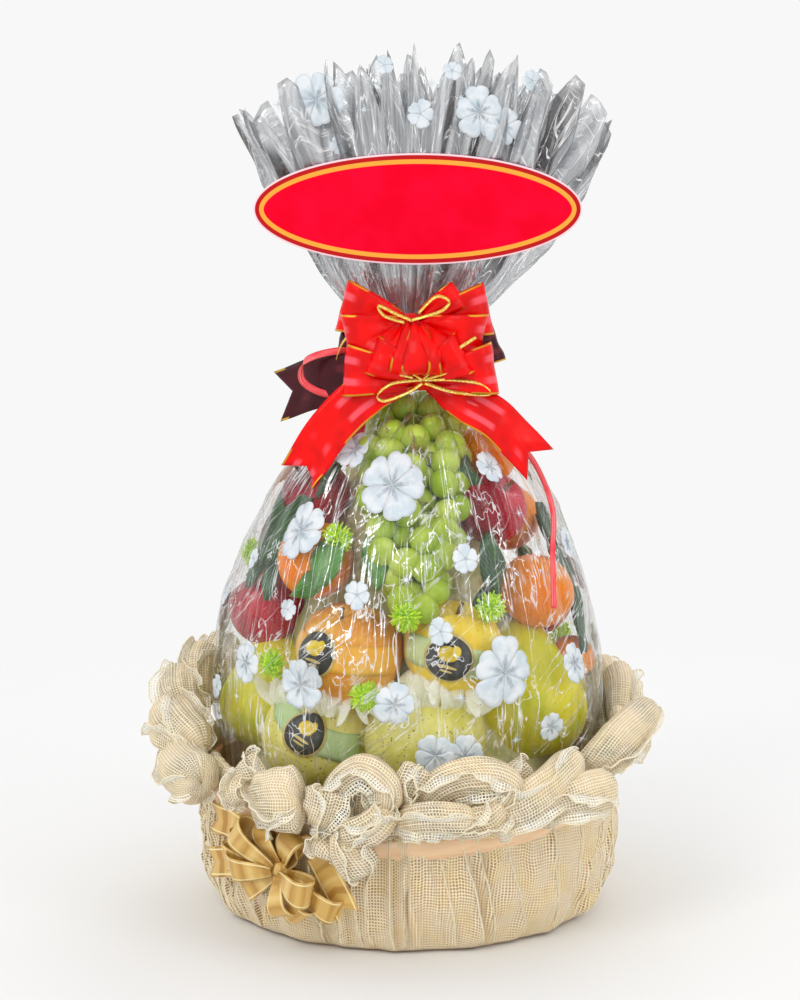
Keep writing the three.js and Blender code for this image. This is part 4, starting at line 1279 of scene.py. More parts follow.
class Fruit:
    """One fruit: where it lies, how it leans in degrees, and the form of its skin."""

    def __init__(self, kind, angle, height, radius, lean, spin=0.0, inset=2.5):
        self.kind = kind
        self.form = FRUIT_KINDS[kind][0]
        self.radius = radius
        self.angle = angle * DEG
        self.seed = angle * 0.37 + height * 0.11
        thick = radius * (1.0 if kind == "pear" else 1.02)
        reach = bag_reach(height) - 3.0 - thick - inset
        self.centre = inside_bag(self.angle, max(reach, 0), height)
        self.axes = tilt_frame(self.angle, lean * DEG, spin * DEG)

    def skin(self, from_top, turn, off=0.0):
        """Points of the skin, or lifted off it."""
        size = self.radius * body_radius(self.form, from_top, turn, self.seed) + off
        return self.centre + (ray_of(from_top, turn) * size[..., None]) @ self.axes

    def skin_along(self, ray, off):
        """Points lifted off the skin in directions in space."""
        own = unit(ray @ self.axes.T)
        return self.skin(np.arccos(np.clip(own[..., 2], -1, 1)), np.arctan2(own[..., 1], own[..., 0]), off)

    def add_to(self, heap):
        from_top, turn, faces = ball()
        body = self.skin(from_top, turn).reshape(-1, 3)
        poles = self.skin(np.array([0.0, math.pi]), np.array([0.0, 0.0]))
        heap.put(np.concatenate([body, poles]), faces)

    def stem(self, length):
        base = self.skin(np.array(0.0), np.array(0.0), -1.5)
        return [base + self.axes[2] * length * t + self.axes[0] * 4 * t * t for t in np.linspace(0, 1, 5)]


# Kinds of fruit: form, piece, the two tones of the skin and the tone of its dots, the pitch and the size of
# the dots, the roughness, the depth of pits and the tone of a blush
FRUIT_KINDS = {
    "pear": ["pear", "green_pears", (204, 210, 14), (238, 226, 40), (160, 164, 40), 260, 0.16, 0.38],
    "round_pear": ["round_pear", "speckled_pears", (226, 218, 96), (248, 240, 150), (136, 112, 44),
                   190, 0.22, 0.45, 0.3],
    "brown_pear": ["round_pear", "russet_pears", (232, 150, 44), (250, 184, 72), (252, 220, 160),
                   240, 0.20, 0.5],
    "gold_pear": ["round_pear", "golden_pear", (240, 202, 46), (252, 224, 86), (190, 156, 64),
                  220, 0.16, 0.42],
    "orange": ["orange", "oranges", (255, 136, 0), (255, 156, 12), (240, 112, 0), 420, 0.35, 0.35, 0.8],
    "apple": ["apple", "red_apples", (206, 12, 40), (228, 34, 60), (240, 180, 140),
              260, 0.10, 0.25, 0.0, (164, 8, 32)],
    "dark_apple": ["apple", "dark_apples", (186, 14, 44), (214, 44, 70), (226, 160, 130),
                   260, 0.10, 0.27, 0.0, (124, 10, 32)]}

# Fruit: kind, angle, height, radius, lean, and for some a spin
FRUITS = [Fruit(*row) for row in (
    ("pear", -84, 190, 50, -6, 0, 0), ("round_pear", -41, 177, 54, 20), ("round_pear", 7, 182, 56, 25),
    ("pear", 63, 196, 55, -10, 40), ("round_pear", 104, 190, 48, 12), ("pear", 148, 192, 47, -8),
    ("round_pear", 192, 186, 48, 10), ("pear", 234, 192, 47, -6), ("apple", -84, 284, 36, 30),
    ("brown_pear", -25, 258, 49, 24), ("gold_pear", 18, 264, 46, 18), ("orange", 66, 305, 36, 40, 20),
    ("apple", 112, 284, 38, 25), ("brown_pear", 158, 282, 44, 15), ("orange", 205, 286, 38, 30),
    ("apple", 246, 290, 37, 22), ("orange", -46, 338, 36, 55, 10), ("dark_apple", 48, 384, 33, 40),
    ("orange", 122, 362, 36, 40), ("apple", 180, 366, 36, 35), ("orange", 238, 368, 36, 45),
    ("dark_apple", -66, 395, 32, 40), ("orange", 74, 430, 29, 60), ("brown_pear", 150, 428, 28, 50),
    ("apple", 215, 430, 28, 50), ("orange", 83, 236, 22, 40))]

# Fruit at the front that lie in foam sleeves; the first, third and fourth have a paper band too
LEFT_PEAR, MIDDLE_PEAR, BROWN_PEAR, GOLD_PEAR = (FRUITS[index] for index in (1, 2, 9, 10))


def fruit_pieces():
    for kind, (_, name, low, high, speck, *values) in FRUIT_KINDS.items():
        heap = Heap()
        for fruit in FRUITS:
            if fruit.kind == kind:
                fruit.add_to(heap)
        in_bag(heap, name, skin_finish(f"{kind} skin", low, high, speck, *values))
    stems = [fruit.stem(17 if fruit.form == "pear" else 13) for fruit in FRUITS if fruit.form != "orange"]
    twig = plain_finish("fruit stems", (92, 66, 34), (120, 90, 48), 300, 0.7)
    settle(cords("fruit_stems", stems, 1.7, twig, 7), *BAG)


# Grapes: how many at most, the least distance between two, where the bunch starts and how tall it is
GRAPE_COUNT = 150
GRAPE_GAP = 19.5
BUNCH_FOOT = 303
BUNCH_HEIGHT = 172


def grapes():
    """A bunch that hangs at the top of the heap, one berry on each point."""
    chooser = np.random.default_rng(5)
    places = []
    tries = 0
    while len(places) < GRAPE_COUNT and tries < 40000:
        tries += 1
        share = chooser.uniform(0, 1)
        height = BUNCH_FOOT + share * BUNCH_HEIGHT
        spread = 38 * math.sin(math.pi * min(1, 0.22 + 0.72 * (1 - share)) ** 0.9) + 6
        sideways = chooser.uniform(-1, 1) * spread
        layer = chooser.choice([0, 1, 2])
        reach = bag_reach(height) - 22 - layer * 17 + chooser.uniform(-2, 2)
        if reach < 6:
            continue
        angle = 3 * DEG + sideways / max(reach, 30)
        place = inside_bag(angle, reach, height)
        if all(np.linalg.norm(place - other) > GRAPE_GAP for other in places):
            places.append(place)
    count = len(places)
    turns = chooser.uniform(0, 6.3, (count, 3))
    girth = chooser.uniform(12.2, 14.0, count)
    sizes = np.stack([girth, girth, girth * chooser.uniform(1.05, 1.2, count)], axis=1)
    bpy.ops.mesh.primitive_uv_sphere_add(segments=18, ring_count=12, radius=1 * MM)
    skin = skin_finish("grape skin", (156, 186, 44), (194, 212, 90), (136, 160, 60), 500, 0.10, 0.16)
    settle(scattered("grapes", bpy.context.object, places, turns, sizes, skin), *BAG)
    twig = plain_finish("grape stalk", (120, 128, 52), (146, 150, 70), 300, 0.7)
    spine = np.array([[4, -70, 470], [5, -95, 440], [8, -118, 395], [9, -128, 350], [10, -133, 318]])
    lines = [spine]
    for place in places[::2]:
        nearest = min(spine, key=lambda knot: np.linalg.norm(knot - place))
        lines.append([nearest, nearest * 0.35 + place * 0.65, place])
    settle(cords("grape_stalks", lines, 1.0, twig), *BAG)


def petal_shape(name, length, width, thick, curve, columns, sides, blunt):
    """A small closed petal along +Z from the origin, for copies. A low blunt value gives a broad tip."""
    points, faces = [], []
    for i in range(columns + 1):
        t = i / columns
        half = width / 2 * math.sin(math.pi * (0.12 + 0.83 * t)) ** blunt
        for j in range(sides):
            turn = math.pi - FULL * j / sides
            points.append((half * math.cos(turn), thick / 2 * math.sin(turn) + curve * t * t, length * t))
            if i < columns:
                low, k = i * sides, (j + 1) % sides
                faces.append([low + k, low + j, low + sides + j, low + sides + k])
    last = columns * sides
    faces.append(list(range(sides)))
    faces.append([last + sides - 1 - j for j in range(sides)])
    return make_piece(name, points, faces, [])


def rotation_to(direction, spin):
    """Euler turn that brings +Z onto a direction after a spin about it."""
    return list((Vector(direction).to_track_quat("Z", "Y") @ Quaternion((0, 0, 1), spin)).to_euler())


# Button flowers: angle, height, and how far they press on the film
MUMS = [[-28, 363, 2], [-1, 299, 4], [27, 304, 2], [-13, 229, 4], [-46, 249, 3], [118, 240, 3],
        [170, 330, 3], [210, 240, 3], [262, 330, 3]]
MUM_PETALS = 190
GOLDEN_TURN = 2.39996
FOAM_PETALS = 22


def mums():
    """Button flowers: narrow petals that stand out from a small middle all round."""
    chooser = np.random.default_rng(9)
    places, turns, sizes = [], [], []
    for angle, height, off in MUMS:
        outward, _ = beside(angle * DEG)
        middle = on_bag(angle * DEG, height, -13.0 + off * 0.5)
        for index in range(MUM_PETALS):
            z = 1 - 2 * (index + 0.5) / MUM_PETALS
            turn = index * GOLDEN_TURN
            ray = np.array([math.sqrt(1 - z * z) * math.cos(turn), math.sqrt(1 - z * z) * math.sin(turn), z])
            ray = ray + chooser.normal(0, 0.08, 3)
            if ray @ outward < -0.35:
                continue
            places.append(middle + ray * 2.5)
            turns.append(rotation_to(ray, chooser.uniform(0, 6.3)))
            sizes.append([1, 1, chooser.uniform(0.8, 1.1) * (0.8 if ray @ outward > 0.5 else 1)])
    shape = petal_shape("mum_petal", 12.0, 3.4, 1.4, 2.0, 5, 4, 0.5)
    # The petals glow a little as painted light.
    finish = plain_finish("lime petals", (170, 216, 8), (212, 240, 64), 160, 0.5, painted_glow=0.1)
    settle(scattered("button_flowers", shape, places, turns, sizes, finish), *BAG)


def foam_nets():
    """Soft white foam sleeves whose ends splay in loops above or below some fruit."""
    chooser = np.random.default_rng(12)
    places, turns, sizes = [], [], []
    for fruit, spread in ((LEFT_PEAR, 70), (MIDDLE_PEAR, 80), (BROWN_PEAR, 100), (GOLD_PEAR, 100)):
        outward, side = beside(fruit.angle)
        upward = np.array([0, 0, -1 if fruit.centre[2] > 230 else 1])
        for share in np.linspace(-1, 1, FOAM_PETALS):
            turn = share * spread * DEG
            ray = unit(math.sin(turn) * side + math.cos(turn) * 0.55 * outward + upward * 0.55)
            places.append(fruit.centre + ray * fruit.radius * chooser.uniform(0.72, 0.92))
            heading = ray * 0.8 + upward * 0.45 + chooser.normal(0, 0.32, 3)
            turns.append(rotation_to(heading, math.atan2(side @ ray, 0.5) + chooser.uniform(-0.3, 0.3)))
            sizes.append([chooser.uniform(0.7, 1.2), 1, chooser.uniform(0.6, 1.1)])
    shape = petal_shape("foam_loop", 31.0, 15.0, 4.0, 9.0, 10, 10, 0.7)
    # The foam glows a little as painted light.
    finish = plain_finish("foam sleeve", (244, 244, 222), (255, 255, 246), 60, 0.8, alpha=0.55, painted_glow=0.1)
    settle(scattered("foam_sleeves", shape, places, turns, sizes, finish), *BAG)


def leaf(heap, place, height, length, width, heading, off):
    """A pointed, cupped leaf that lies just under the film."""
    t = np.linspace(0, 1, 13)[:, None]
    s = np.linspace(-1, 1, 9)[None, :]
    half = width / 2 * np.sin(math.pi * np.clip(t * 0.97 + 0.015, 0, 1)) ** 0.75
    flat_x = s * half
    flat_y = (t - 0.5) * length
    x = flat_x * math.cos(heading) + flat_y * math.sin(heading)
    y = -flat_x * math.sin(heading) + flat_y * math.cos(heading)
    angle = place * DEG + x / max(bag_reach(height), 50)
    lift = -off - 6.0 * np.abs(s) ** 1.5 + 1.5 * np.sin(t * 9 + s * 3)
    heap.put(*shell(on_bag(angle, height + y, lift), 0.8, False, together(t, s / 2 + 0.5)))


# Leaves: angle, height, length, width, heading, and depth under the film
LEAVES = {
    "orange_leaves": [
        [-30, 346, 58, 34, 12 * DEG, 6], [-13, 352, 66, 30, -8 * DEG, 16], [-36, 322, 46, 24, 60 * DEG, 12],
        [128, 300, 60, 30, 20 * DEG, 8], [188, 330, 60, 30, -30 * DEG, 8]],
    "dark_leaves": [
        [-60, 372, 92, 40, 20 * DEG, 12], [-72, 350, 86, 38, 5 * DEG, 10], [-66, 330, 70, 36, -30 * DEG, 18],
        [82, 262, 84, 40, 8 * DEG, 10], [90, 290, 80, 40, -12 * DEG, 12], [76, 350, 70, 34, 10 * DEG, 14],
        [100, 330, 80, 38, 25 * DEG, 12], [255, 350, 84, 38, 0.2, 12], [225, 330, 80, 36, -0.3, 12],
        [34, 338, 56, 34, 8 * DEG, 20], [30, 300, 50, 30, 50 * DEG, 30], [140, 400, 70, 32, 0.3, 12],
        [-50, 412, 60, 28, 35 * DEG, 14], [30, 430, 56, 26, -30 * DEG, 16]]}
LEAF_TONES = {"orange_leaves": [(58, 122, 40), (88, 150, 58)], "dark_leaves": [(24, 66, 36), (40, 92, 50)]}


def leaves():
    for name, rows in LEAVES.items():
        heap = Heap()
        for row in rows:
            leaf(heap, *row)
        in_bag(heap, name, leaf_finish(name, *LEAF_TONES[name]))


def filler():
    """Crumpled green and silver tissue that fills the middle of the heap."""
    middle, half = 262, 190
    from_top, turn, faces = ball(72, 48)
    height = middle + half * np.cos(from_top)
    blunt = np.minimum(1, np.sin(from_top) * 3)
    reach = np.interp(height, [70, 130, 155, 180, 300, 400, 440, 455], [146, 150, 138, 122, 96, 58, 34, 20])
    crumple = 5 * ripples(turn * 100, height, 40, 51) + 3 * np.abs(ripples(turn * 100, height, 18, 52))
    body = polar(turn, (reach + crumple) * blunt, height).reshape(-1, 3)
    points = np.concatenate([body, [[0, 0, middle + half], [0, 0, middle - half]]])
    finish = plain_finish("tissue", (176, 176, 112), (216, 212, 160), 60, 0.6)
    settle(make_piece("tissue_filler", points, faces, [finish]), *BAG)


# Badge: for each shape its piece, half-sizes, place right and up, and lift
BADGE_SHAPES = [
    ["ring", (1.12, 1.12), 0, 0, 1.7], ["disc", (1.0, 1.0), 0, 0, 2.1],
    ["dot", (0.46, 0.34), -0.06, 0.2, 2.5], ["dot", (0.22, 0.26), 0.26, 0.36, 2.6],
    ["ring", (0.46, 0.07), 0.0, -0.36, 2.5],
    ["ring", (0.3, 0.05), 0.0, -0.56, 2.5]]
BADGE_TONES = {"disc": [(52, 52, 50), (66, 66, 62)], "ring": [(214, 190, 110), (232, 210, 140)],
               "dot": [(232, 200, 40), (244, 216, 70)]}

BAND_HALF = 13
BADGE_HALF = 20
# Paper bands: the fruit, two tones, the slope in degrees, and the place of the badge across and up
BANDS = [
    [LEFT_PEAR, (176, 206, 140), (196, 218, 160), 30, 0.29, 0.48],
    [BROWN_PEAR, (246, 176, 40), (252, 194, 70), 8, -0.25, 0.12],
    [GOLD_PEAR, (196, 212, 146), (212, 224, 170), 14, -0.42, -0.12]]


def fruit_bands():
    """Paper bands round three fruit, each with a round badge that carries only plain shapes."""
    badges = {kind: Heap() for kind in BADGE_TONES}
    for index, (fruit, low, high, slope, right, level) in enumerate(BANDS):
        outward, side = beside(fruit.angle)
        up = np.array([0, 0, 1.0])
        slope = slope * DEG
        strip_side = math.cos(slope) * side - math.sin(slope) * up
        strip_up = math.sin(slope) * side + math.cos(slope) * up

        def on_fruit(x, y, off):
            """Points off the fruit's skin: x round it and y up it, in radians."""
            x, y = np.broadcast_arrays(x, y)
            forward = np.cos(x)[..., None] * outward + np.sin(x)[..., None] * strip_side
            return fruit.skin_along(np.cos(y)[..., None] * forward + np.sin(y)[..., None] * strip_up, off)

        x = np.linspace(-1.5, 1.5, 48)[None, :]
        y = (np.linspace(-1, 1, 7) * BAND_HALF / fruit.radius)[:, None]
        heap = Heap()
        heap.put(*shell(on_fruit(x, y + level, 1.0), 0.5, False, together(x, y)))
        in_bag(heap, f"fruit_band_{index + 1}", plain_finish(f"paper band {index}", low, high, 50, 0.5))
        size = BADGE_HALF / fruit.radius
        turn = all_round(36)
        reach = np.linspace(1, 0.02, 5)[:, None] * size
        for kind, (half_width, half_height), across, rise, lift in BADGE_SHAPES:
            disc = on_fruit(right + size * across + reach * half_width * np.cos(turn),
                            level + size * rise + reach * half_height * np.sin(turn), lift)
            badges[kind].put(*shell(disc, 0.3, True))
    for kind, heap in badges.items():
        in_bag(heap, f"badge_{kind}s", plain_finish(f"badge {kind}", *BADGE_TONES[kind], 200, 0.4))


# Ribbons

def ribbon_grid(path, wide, widths, rows):
    """Grid of a ribbon: columns along its path, rows across it."""
    ahead = unit(np.gradient(path, axis=0))
    wide = unit(wide - ahead * np.sum(wide * ahead, axis=1, keepdims=True))
    across = np.linspace(-0.5, 0.5, rows)[:, None, None]
    return path[None] + wide[None] * across * widths[None, :, None]


def narrow_ribbon(places, count, wide, width):
    """Grid of a narrow ribbon through a few places."""
    path = smooth_path(places, count)
    return ribbon_grid(path, np.repeat([wide], count, axis=0), np.full(count, width), 3)


def ribbon_map(grid):
    """Ten times the length along the ribbon in metres, and 0 to 1 across it."""
    steps = np.linalg.norm(np.diff(grid.mean(axis=0), axis=0), axis=1)
    along = np.concatenate([[0], np.cumsum(steps)]) * MM * 10
    return together(along[None, :], np.linspace(0, 1, len(grid))[:, None])


def add_ribbon(heap, grid, thickness, slot=0):
    heap.put(*shell(grid, thickness, False, ribbon_map(grid)), slot)


def loop_grid(knot, end, depth, width, pinch, lift, part, root, rows, crumple, seed):
    """Ribbon that runs from a knot out to its end and back, pinched and creased at the knot."""
    way = end - knot
    length = np.linalg.norm(way)
    along = way / length
    share = np.linspace(0, 1, 48)
    turn = share * math.pi
    out = root + (length - root) * np.power(np.sin(turn), 0.85)
    front = np.cos(turn) * part + depth * np.sin(2 * turn)
    wide = unit(lift - along * (lift @ along))
    through = np.cross(wide, along)
    if through[1] > 0:
        through = -through
    path = knot + along * out[:, None] + through * front[:, None]
    widths = pinch + (width - pinch) * np.power(np.sin(turn), 0.6)
    grid = ribbon_grid(path, np.repeat(wide[None], len(share), axis=0), widths, rows)
    v = np.linspace(-1, 1, rows)[:, None] * 30
    near = np.exp(-np.minimum(share, 1 - share) * 7)[None, :]
    folds = np.sin(v * 0.28 + seed) * near * 1.6 + 0.5 * ripples(share[None, :] * 140, v, 50, 60 + seed)
    return grid + surface_normals(grid, False) * (crumple * folds)[..., None]


def smooth_path(points, count):
    """Even points on a smooth curve through a few places."""
    points = np.asarray(points, float)
    padded = np.concatenate([[2 * points[0] - points[1]], points, [2 * points[-1] - points[-2]]])
    spans = len(points) - 1
    result = []
    for value in np.linspace(0, spans, count):
        i = min(int(value), spans - 1)
        t = value - i
        a, b, c, d = padded[i:i + 4]
        result.append(0.5 * ((2 * b) + (c - a) * t + (2 * a - 5 * b + 4 * c - d) * t * t
                             + (3 * b - a - 3 * c + d) * t**3))
    return np.array(result)


def clear_of_film(grid, distance):
    """Moves points straight out until they are clear of the film by a distance."""
    height = grid[..., 2]
    x, y = grid[..., 0] - bag_centre(height), grid[..., 1]
    radius = np.hypot(x, y)
    film = creased_bag(np.arctan2(x, -y), np.clip(height, 10, NECK_HEIGHT))
    wanted = np.where((height < NECK_HEIGHT) & (height > RIM_FRONT), film + distance, 0)
    grow = np.maximum(1, wanted / np.maximum(radius, 1))
    return together(x * grow + bag_centre(height), y * grow, height)


def tail_grid(points, width, pinch, start, end, fork, twist, seed=0, count=44):
    """Loose end of a ribbon that widens from a knot, turns from one lie to another and has a forked end."""
    rows = 11
    share = np.linspace(0, 1, count)
    wide = np.array(start) * (1 - share[:, None]) + np.array(end) * share[:, None]
    widths = pinch + (width - pinch) * np.minimum(1, 2.2 * share)
    grid = ribbon_grid(smooth_path(points, count), wide, widths, rows)
    across = np.abs(np.linspace(-1, 1, rows))[:, None]
    ahead = unit(grid[:, -1] - grid[:, -2])
    pull = fork * (1 - across) * np.clip((share - 0.6) / 0.4, 0, 1)[None, :] ** 1.5
    grid = grid - pull[..., None] * ahead[:, None, :]
    folds = twist * ripples(share[None, :] * 150, across * 20, 60, 90 + seed)
    return grid + surface_normals(grid, False) * folds[..., None]


# Red bow: its two knots and the width of its ribbon
UPPER_KNOT = [2, -66, 553]
LOWER_KNOT = [12, -72, 503]
RED_WIDTH = 48

# Loops of the red bow: knot, end, depth, the way that the ribbon is wide, and its width
RED_LOOPS = [
    ([2, -58, 550], [-61, -64, 569], 9, [0.58, 0, 0.8], RED_WIDTH),
    ([4, -58, 550], [72, -64, 566], 9, [-0.5, 0, 0.85], RED_WIDTH),
    ([8, -66, 556], [46, -70, 580], 6, [-0.8, 0, 0.6], 26),
    ([0, -72, 552], [-56, -80, 538], 10, [0.5, 0, 1], RED_WIDTH),
    ([6, -72, 552], [66, -80, 538], 10, [-0.4, 0, 1], RED_WIDTH),
    ([-2, -74, 556], [-24, -90, 516], 10, [1, 0, 0.5], RED_WIDTH),
    ([6, -74, 556], [34, -90, 517], 10, [-1, 0, 0.6], RED_WIDTH),
    ([4, -80, 558], [6, -96, 508], 9, [1, 0, 0.04], RED_WIDTH),
    ([10, -80, 503], [-58, -82, 511], 11, [0.25, 0, 1], RED_WIDTH),
    ([14, -80, 503], [78, -82, 513], 11, [-0.05, 0, 1], RED_WIDTH),
    ([12, -84, 506], [50, -92, 528], 9, [-0.7, 0, 0.8], 40),
    ([10, -84, 506], [-34, -92, 526], 9, [0.6, 0, 0.8], 36)]
MAROON_LOOPS = [
    ([8, -60, 508], [-66, -54, 528], 7, [0.3, 0, 1], 36),
    ([14, -60, 508], [82, -54, 536], 7, [-0.3, 0, 1], 36)]


def knot_ball(heap, centre, size, seed):
    from_top, turn, faces = ball(36, 24)
    gather = 1 + 0.10 * np.sin(9 * turn + seed) * np.sin(from_top)
    body = (ray_of(from_top, turn) * gather[..., None] * size).reshape(-1, 3)
    poles = [[0, 0, size[2]], [0, 0, -size[2]]]
    corners = np.full((sum(len(face) for face in faces), 2), 0.5)
    heap.put(np.concatenate([body, poles]) + centre, faces, corners)


def red_bow(red, maroon, pink):
    """Loops at two knots, a curl, two tails that lie on the film, a maroon tail behind, and a narrow strip
    that hangs down the film."""
    heap = Heap()
    for index, (knot, end, depth, lift, width) in enumerate(RED_LOOPS + MAROON_LOOPS):
        grid = loop_grid(np.array(knot), np.array(end), depth, width, 15, np.array(lift), 5, 6, 11, 1.6,
                         index)
        add_ribbon(heap, grid, 0.7, int(index >= len(RED_LOOPS)))
    curl = [[-38, -66, 522], [-62, -72, 528], [-92, -74, 520], [-97, -72, 502], [-80, -70, 490],
            [-52, -72, 486]]
    add_ribbon(heap, narrow_ribbon(curl, 60, [0.5, 0.3, 0.9], 6.5), 0.6, 2)
    knot_ball(heap, UPPER_KNOT, (9, 16, 9), 1)
    knot_ball(heap, LOWER_KNOT, (11, 20, 11), 2)
    left = tail_grid([LOWER_KNOT, [-18, -82, 497], [-46, -88, 484], [-76, -88, 452], [-99, -84, 414]],
                     RED_WIDTH * 0.84, 18, [0.5, 0, 0.85], [-0.85, 0.2, 0.5], 12, 1.0, 1)
    right = tail_grid([LOWER_KNOT, [42, -84, 488], [82, -84, 464], [120, -70, 424]], RED_WIDTH * 0.8, 18,
                      [-0.6, 0, 0.8], [0.7, 0.3, 0.7], 17, 1.0, 2)
    back = tail_grid([LOWER_KNOT, [-30, -82, 502], [-78, -66, 500], [-122, -34, 484]], RED_WIDTH, 20,
                     [0, 0, 1], [0.1, 0.1, 1], 20, 1.4, 3)
    add_ribbon(heap, clear_of_film(left, 2.0), 0.7)
    add_ribbon(heap, clear_of_film(right, 2.0), 0.7)
    add_ribbon(heap, back, 0.7, 1)
    strip = [LOWER_KNOT, [60, -84, 478]]
    for angle, height in ((66, 450), (74, 425), (62, 385), (53, 345), (47, 300)):
        strip.append(on_bag(angle * DEG, height, 6))
    add_ribbon(heap, clear_of_film(narrow_ribbon(strip, 90, [1.0, 0, 0], 5.0), 2.2), 0.6, 2)
    settle(heap.piece("bow_of_red_ribbon", red, maroon, pink), "red_ribbon", "red_bow")


def gold_strings(gold):
    """Narrow metallic pull strips that show among the loops of the red bow."""
    lines = [
        [[2, -90, 556], [-12, -93, 562], [-27, -91, 569], [-22, -92, 560], [-4, -92, 554]],
        [[2, -90, 556], [16, -93, 560], [30, -92, 565], [36, -90, 573], [24, -92, 577], [8, -91, 562]],
        [[12, -93, 503], [-6, -96, 514], [-28, -95, 519], [-26, -96, 512], [4, -95, 505]],
        [[12, -93, 503], [22, -97, 512], [30, -96, 517], [34, -96, 510], [16, -95, 504]],
        [[12, -93, 503], [40, -97, 503], [66, -96, 499], [72, -94, 490], [40, -96, 492], [14, -95, 500]],
        [[12, -93, 503], [-14, -97, 500], [-28, -96, 490], [-22, -95, 484], [0, -96, 492], [12, -95, 500]],
        [[-44, -88, 548], [-58, -80, 538], [-66, -70, 520], [-64, -66, 508]],
        [[60, -92, 541], [44, -97, 531], [30, -97, 522], [14, -95, 510]],
    ]
    heap = Heap()
    for line in lines:
        add_ribbon(heap, narrow_ribbon(line, 40, [0.1, 0.5, 1.0], 3.2), 0.5)
    settle(heap.piece("bow_strings", gold), "red_ribbon", "red_bow")


# Gold bow on the wall, left of the front
GOLD_ANGLE = -33 * DEG
GOLD_HEIGHT = 76
GOLD_OFF_WALL = 14
GOLD_WIDTH = 28

# Loops of the gold bow: end (across, up and off the wall), the knot's place off the wall, depth, and the
# way that the ribbon is wide; then its tails: two places and that way
GOLD_LOOPS = [
    ([-38, 35, 13], 6, 9, [0.8, 0.7, 0.2]),
    ([-14, 40, 3], 0, 8, [1, 0.25, 0.2]),
    ([24, -40, 4], 1, 8, [0.9, 0.5, 0.2]),
    ([-56, 4, 9], 3, 6, [0.1, 1, 0.3]),
    ([-62, 12, -2], -4, 6, [0.2, 1, 0.2]),
    ([-45, -2, 14], 6, 6, [0.2, 1, 0.3]),
    ([-40, -24, 2], -4, 7, [-0.5, 1, 0.2]),
    ([10, -38, 10], 4, 8, [1, 0.3, 0.2]),
    ([34, -14, 18], 7, 8, [0.3, 1, 0.1]),
    ([52, -32, 0], -3, 7, [0.5, 1, 0.2]),
    ([16, 34, 4], -2, 7, [1, -0.4, 0.2])]
GOLD_TAILS = [
    ([[-48, 24, -2], [-90, 30, 2]], [0.1, 1, 0]),
    ([[-46, -4, -2], [-92, -14, 4]], [0.1, 1, 0]),
    ([[28, 20, -3], [62, -34, 4]], [0.8, 0.6, 0])]


def gold_bow(gold):
    wall = float(drum_radius(GOLD_HEIGHT)) + PLEAT_DEPTH
    outward, right = beside(GOLD_ANGLE)

    def spot(sideways, rise, off):
        return polar(GOLD_ANGLE + sideways / wall, wall + GOLD_OFF_WALL + off, GOLD_HEIGHT + rise)

    def heading(across, up, out):
        return right * across + np.array([0, 0, up]) + outward * out

    heap = Heap()
    knot = spot(0, 0, 0)
    for index, (end, root, depth, lift) in enumerate(GOLD_LOOPS):
        grid = loop_grid(spot(0, 0, root), spot(*end), depth, GOLD_WIDTH, 8, heading(*lift), 3, 5, 9, 0.6,
                         index)
        add_ribbon(heap, grid, 0.6)
    for ends, lift in GOLD_TAILS:
        lie = heading(*lift)
        path = [knot] + [spot(*end) for end in ends]
        add_ribbon(heap, tail_grid(path, GOLD_WIDTH, 10, lie, lie, 9, 0.8, count=30), 0.6)
    knot_ball(heap, knot, (8, 8, 8), 4)
    settle(heap.piece("bow_of_gold_ribbon", gold), "gold_ribbon", "gold_bow")


# Card

def oval_card(finish):
    """Printed card: rings of points inwards from its edge, so that its map can hold the inset."""
    spokes = 160
    turn = all_round(spokes)[0]
    size = np.array([CARD_HALF_WIDTH, CARD_HALF_HEIGHT])
    ray = np.stack([np.cos(turn), np.sin(turn)], axis=1)
    insets = [0.0, 0.6, 1.5, 3.0, 5.0, 7.0, 9.0, 12.0]
    rings = [size * ray - unit(ray / size) * inset for inset in insets]
    for share in (0.75, 0.5, 0.25):
        rings.append(rings[7] * share)
        insets.append(12 + 40 * (1 - share))
    flat = np.concatenate(rings + [np.zeros((1, 2))])
    insets = np.append(np.repeat(insets, spokes), 60)
    half = CARD_THICKNESS / 2 - np.where(insets == 0, 0.35, 0)
    c, s = math.cos(CARD_TILT), math.sin(CARD_TILT)
    points = np.concatenate([
        np.stack([flat[:, 0], -flat[:, 1] * s - off * c, flat[:, 1] * c - off * s], axis=1)
        for off in (half, -half)]) + CARD_CENTRE
    faces = disc_faces(spokes, len(rings))
    corners = [[insets[index % len(flat)], 0.5] for face in faces for index in face]
    settle(make_piece("card", points, faces, [finish], corners, smooth=False), "card", "oval_card")


# Stage

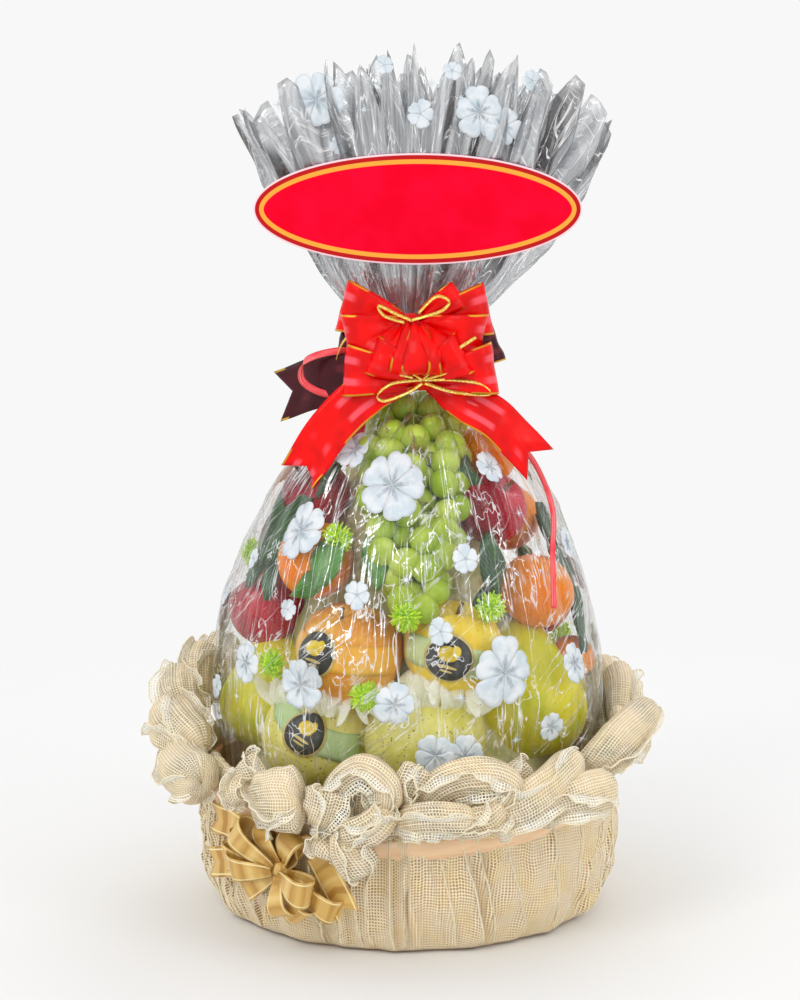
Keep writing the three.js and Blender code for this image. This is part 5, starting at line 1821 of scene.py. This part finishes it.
def stage():
    """Pale floor that fades out into the pale surroundings, and soft light from all sides."""
    make = Finish("floor")
    spot = make.place()
    away = make.add("VectorMath", {"operation": "LENGTH"}, output=1, Vector=spot)
    material = make.coated(Base_Color=make.clouds(spot, 2, (FLOOR_TONE,) * 3, (FLOOR_TONE + 1,) * 3),
                           Roughness=0.8, Specular_IOR_Level=0.1,
                           Alpha=1 - make.ramp(away, FLOOR_SOLID, FLOOR_GONE))
    bpy.ops.mesh.primitive_plane_add(size=2 * FLOOR_GONE)
    floor = bpy.context.object
    floor.name = "floor"
    floor.data.materials.append(material)
    scene = bpy.context.scene
    scene.view_settings.view_transform = "Standard"
    scene.cycles.transparent_max_bounces = 24
    world = bpy.data.worlds.new("studio")
    scene.world = world
    world.use_nodes = True
    around = world.node_tree.nodes["Background"].inputs
    around["Color"].default_value = (*tint(248, 248, 248), 1)
    around["Strength"].default_value = 1.0
    area_light("key", (-1.5, -2.2, 2.4), (0, 0, 0.35), (1.2, 1.6), 24)
    area_light("fill", (1.9, -1.6, 1.5), (0, 0, 0.35), (0.9, 1.8), 8)
    area_light("rim", (0.6, 2.0, 2.0), (0, 0, 0.5), (1.6, 0.8), 10)


stage()
hem_finish = plain_finish("hem cord", (238, 226, 196), (248, 238, 212), 400, 0.6)
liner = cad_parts["basket_drum"].data.materials
liner.clear()
liner.append(liner_finish("basket liner"))
net_skin(net_finish("wall net", (255, 238, 206), (255, 234, 184), 0.42), hem_finish)
# The ruffle's inner skins take the net whose holes are painted shade in two darker tones.
net_ruffle(net_finish("cream net", (255, 252, 242), (255, 247, 220)),
           net_finish("net behind net", (246, 236, 214), (248, 236, 200), 0.3,
                      [(212, 184, 144), (146, 134, 114)]), hem_finish)
satin_band(satin_finish("peach satin", (252, 214, 170), (238, 190, 142), (255, 232, 204)))
filler()
fruit_pieces()
grapes()
mums()
foam_nets()
leaves()
fruit_bands()
# The low, high and deep tones of both films colour their mirror as painted reflection.
film_bag(film_finish("clear film", (0.965, 0.97, 0.965, 1), (164, 162, 156), (240, 242, 244),
                     (112, 104, 96), 0.045, 0.55, 0.74, (66, 6, 1)))
crest_film = film_finish("crest film", (0.92, 0.925, 0.92, 1), (160, 160, 164), (250, 252, 255),
                         (86, 80, 82), 0.33, 0.3, 0.62, (60, 4, 1))
crest_frill("crest_outer", crest_film, 1.0, CREST_PLEATS, 0, 61, 0.1)
crest_frill("crest_middle", crest_film, 0.72, 26, 2, 62, 0.14)
crest_frill("crest_inner", crest_film, 0.42, 18, 4, 63, 0.2)
prints_on_bag(print_finish("white print", (214, 226, 234)),
              plain_finish("print lines", (168, 180, 190), (190, 200, 208), 400, 0.6))
red_bow(red_ribbon_finish("red ribbon", (248, 4, 2), (220, 2, 4), (255, 110, 126), (230, 160, 44)),
        red_ribbon_finish("maroon ribbon", (70, 14, 24), (56, 10, 18), (112, 34, 46), (224, 176, 60)),
        red_ribbon_finish("pink ribbon", (250, 100, 104), (238, 66, 78), (255, 160, 166), (240, 120, 100)))
gold_strings(metal_finish("gold string", (226, 176, 40)))
gold_bow(gold_ribbon_finish("gold ribbon"))
oval_card(card_finish("printed card"))
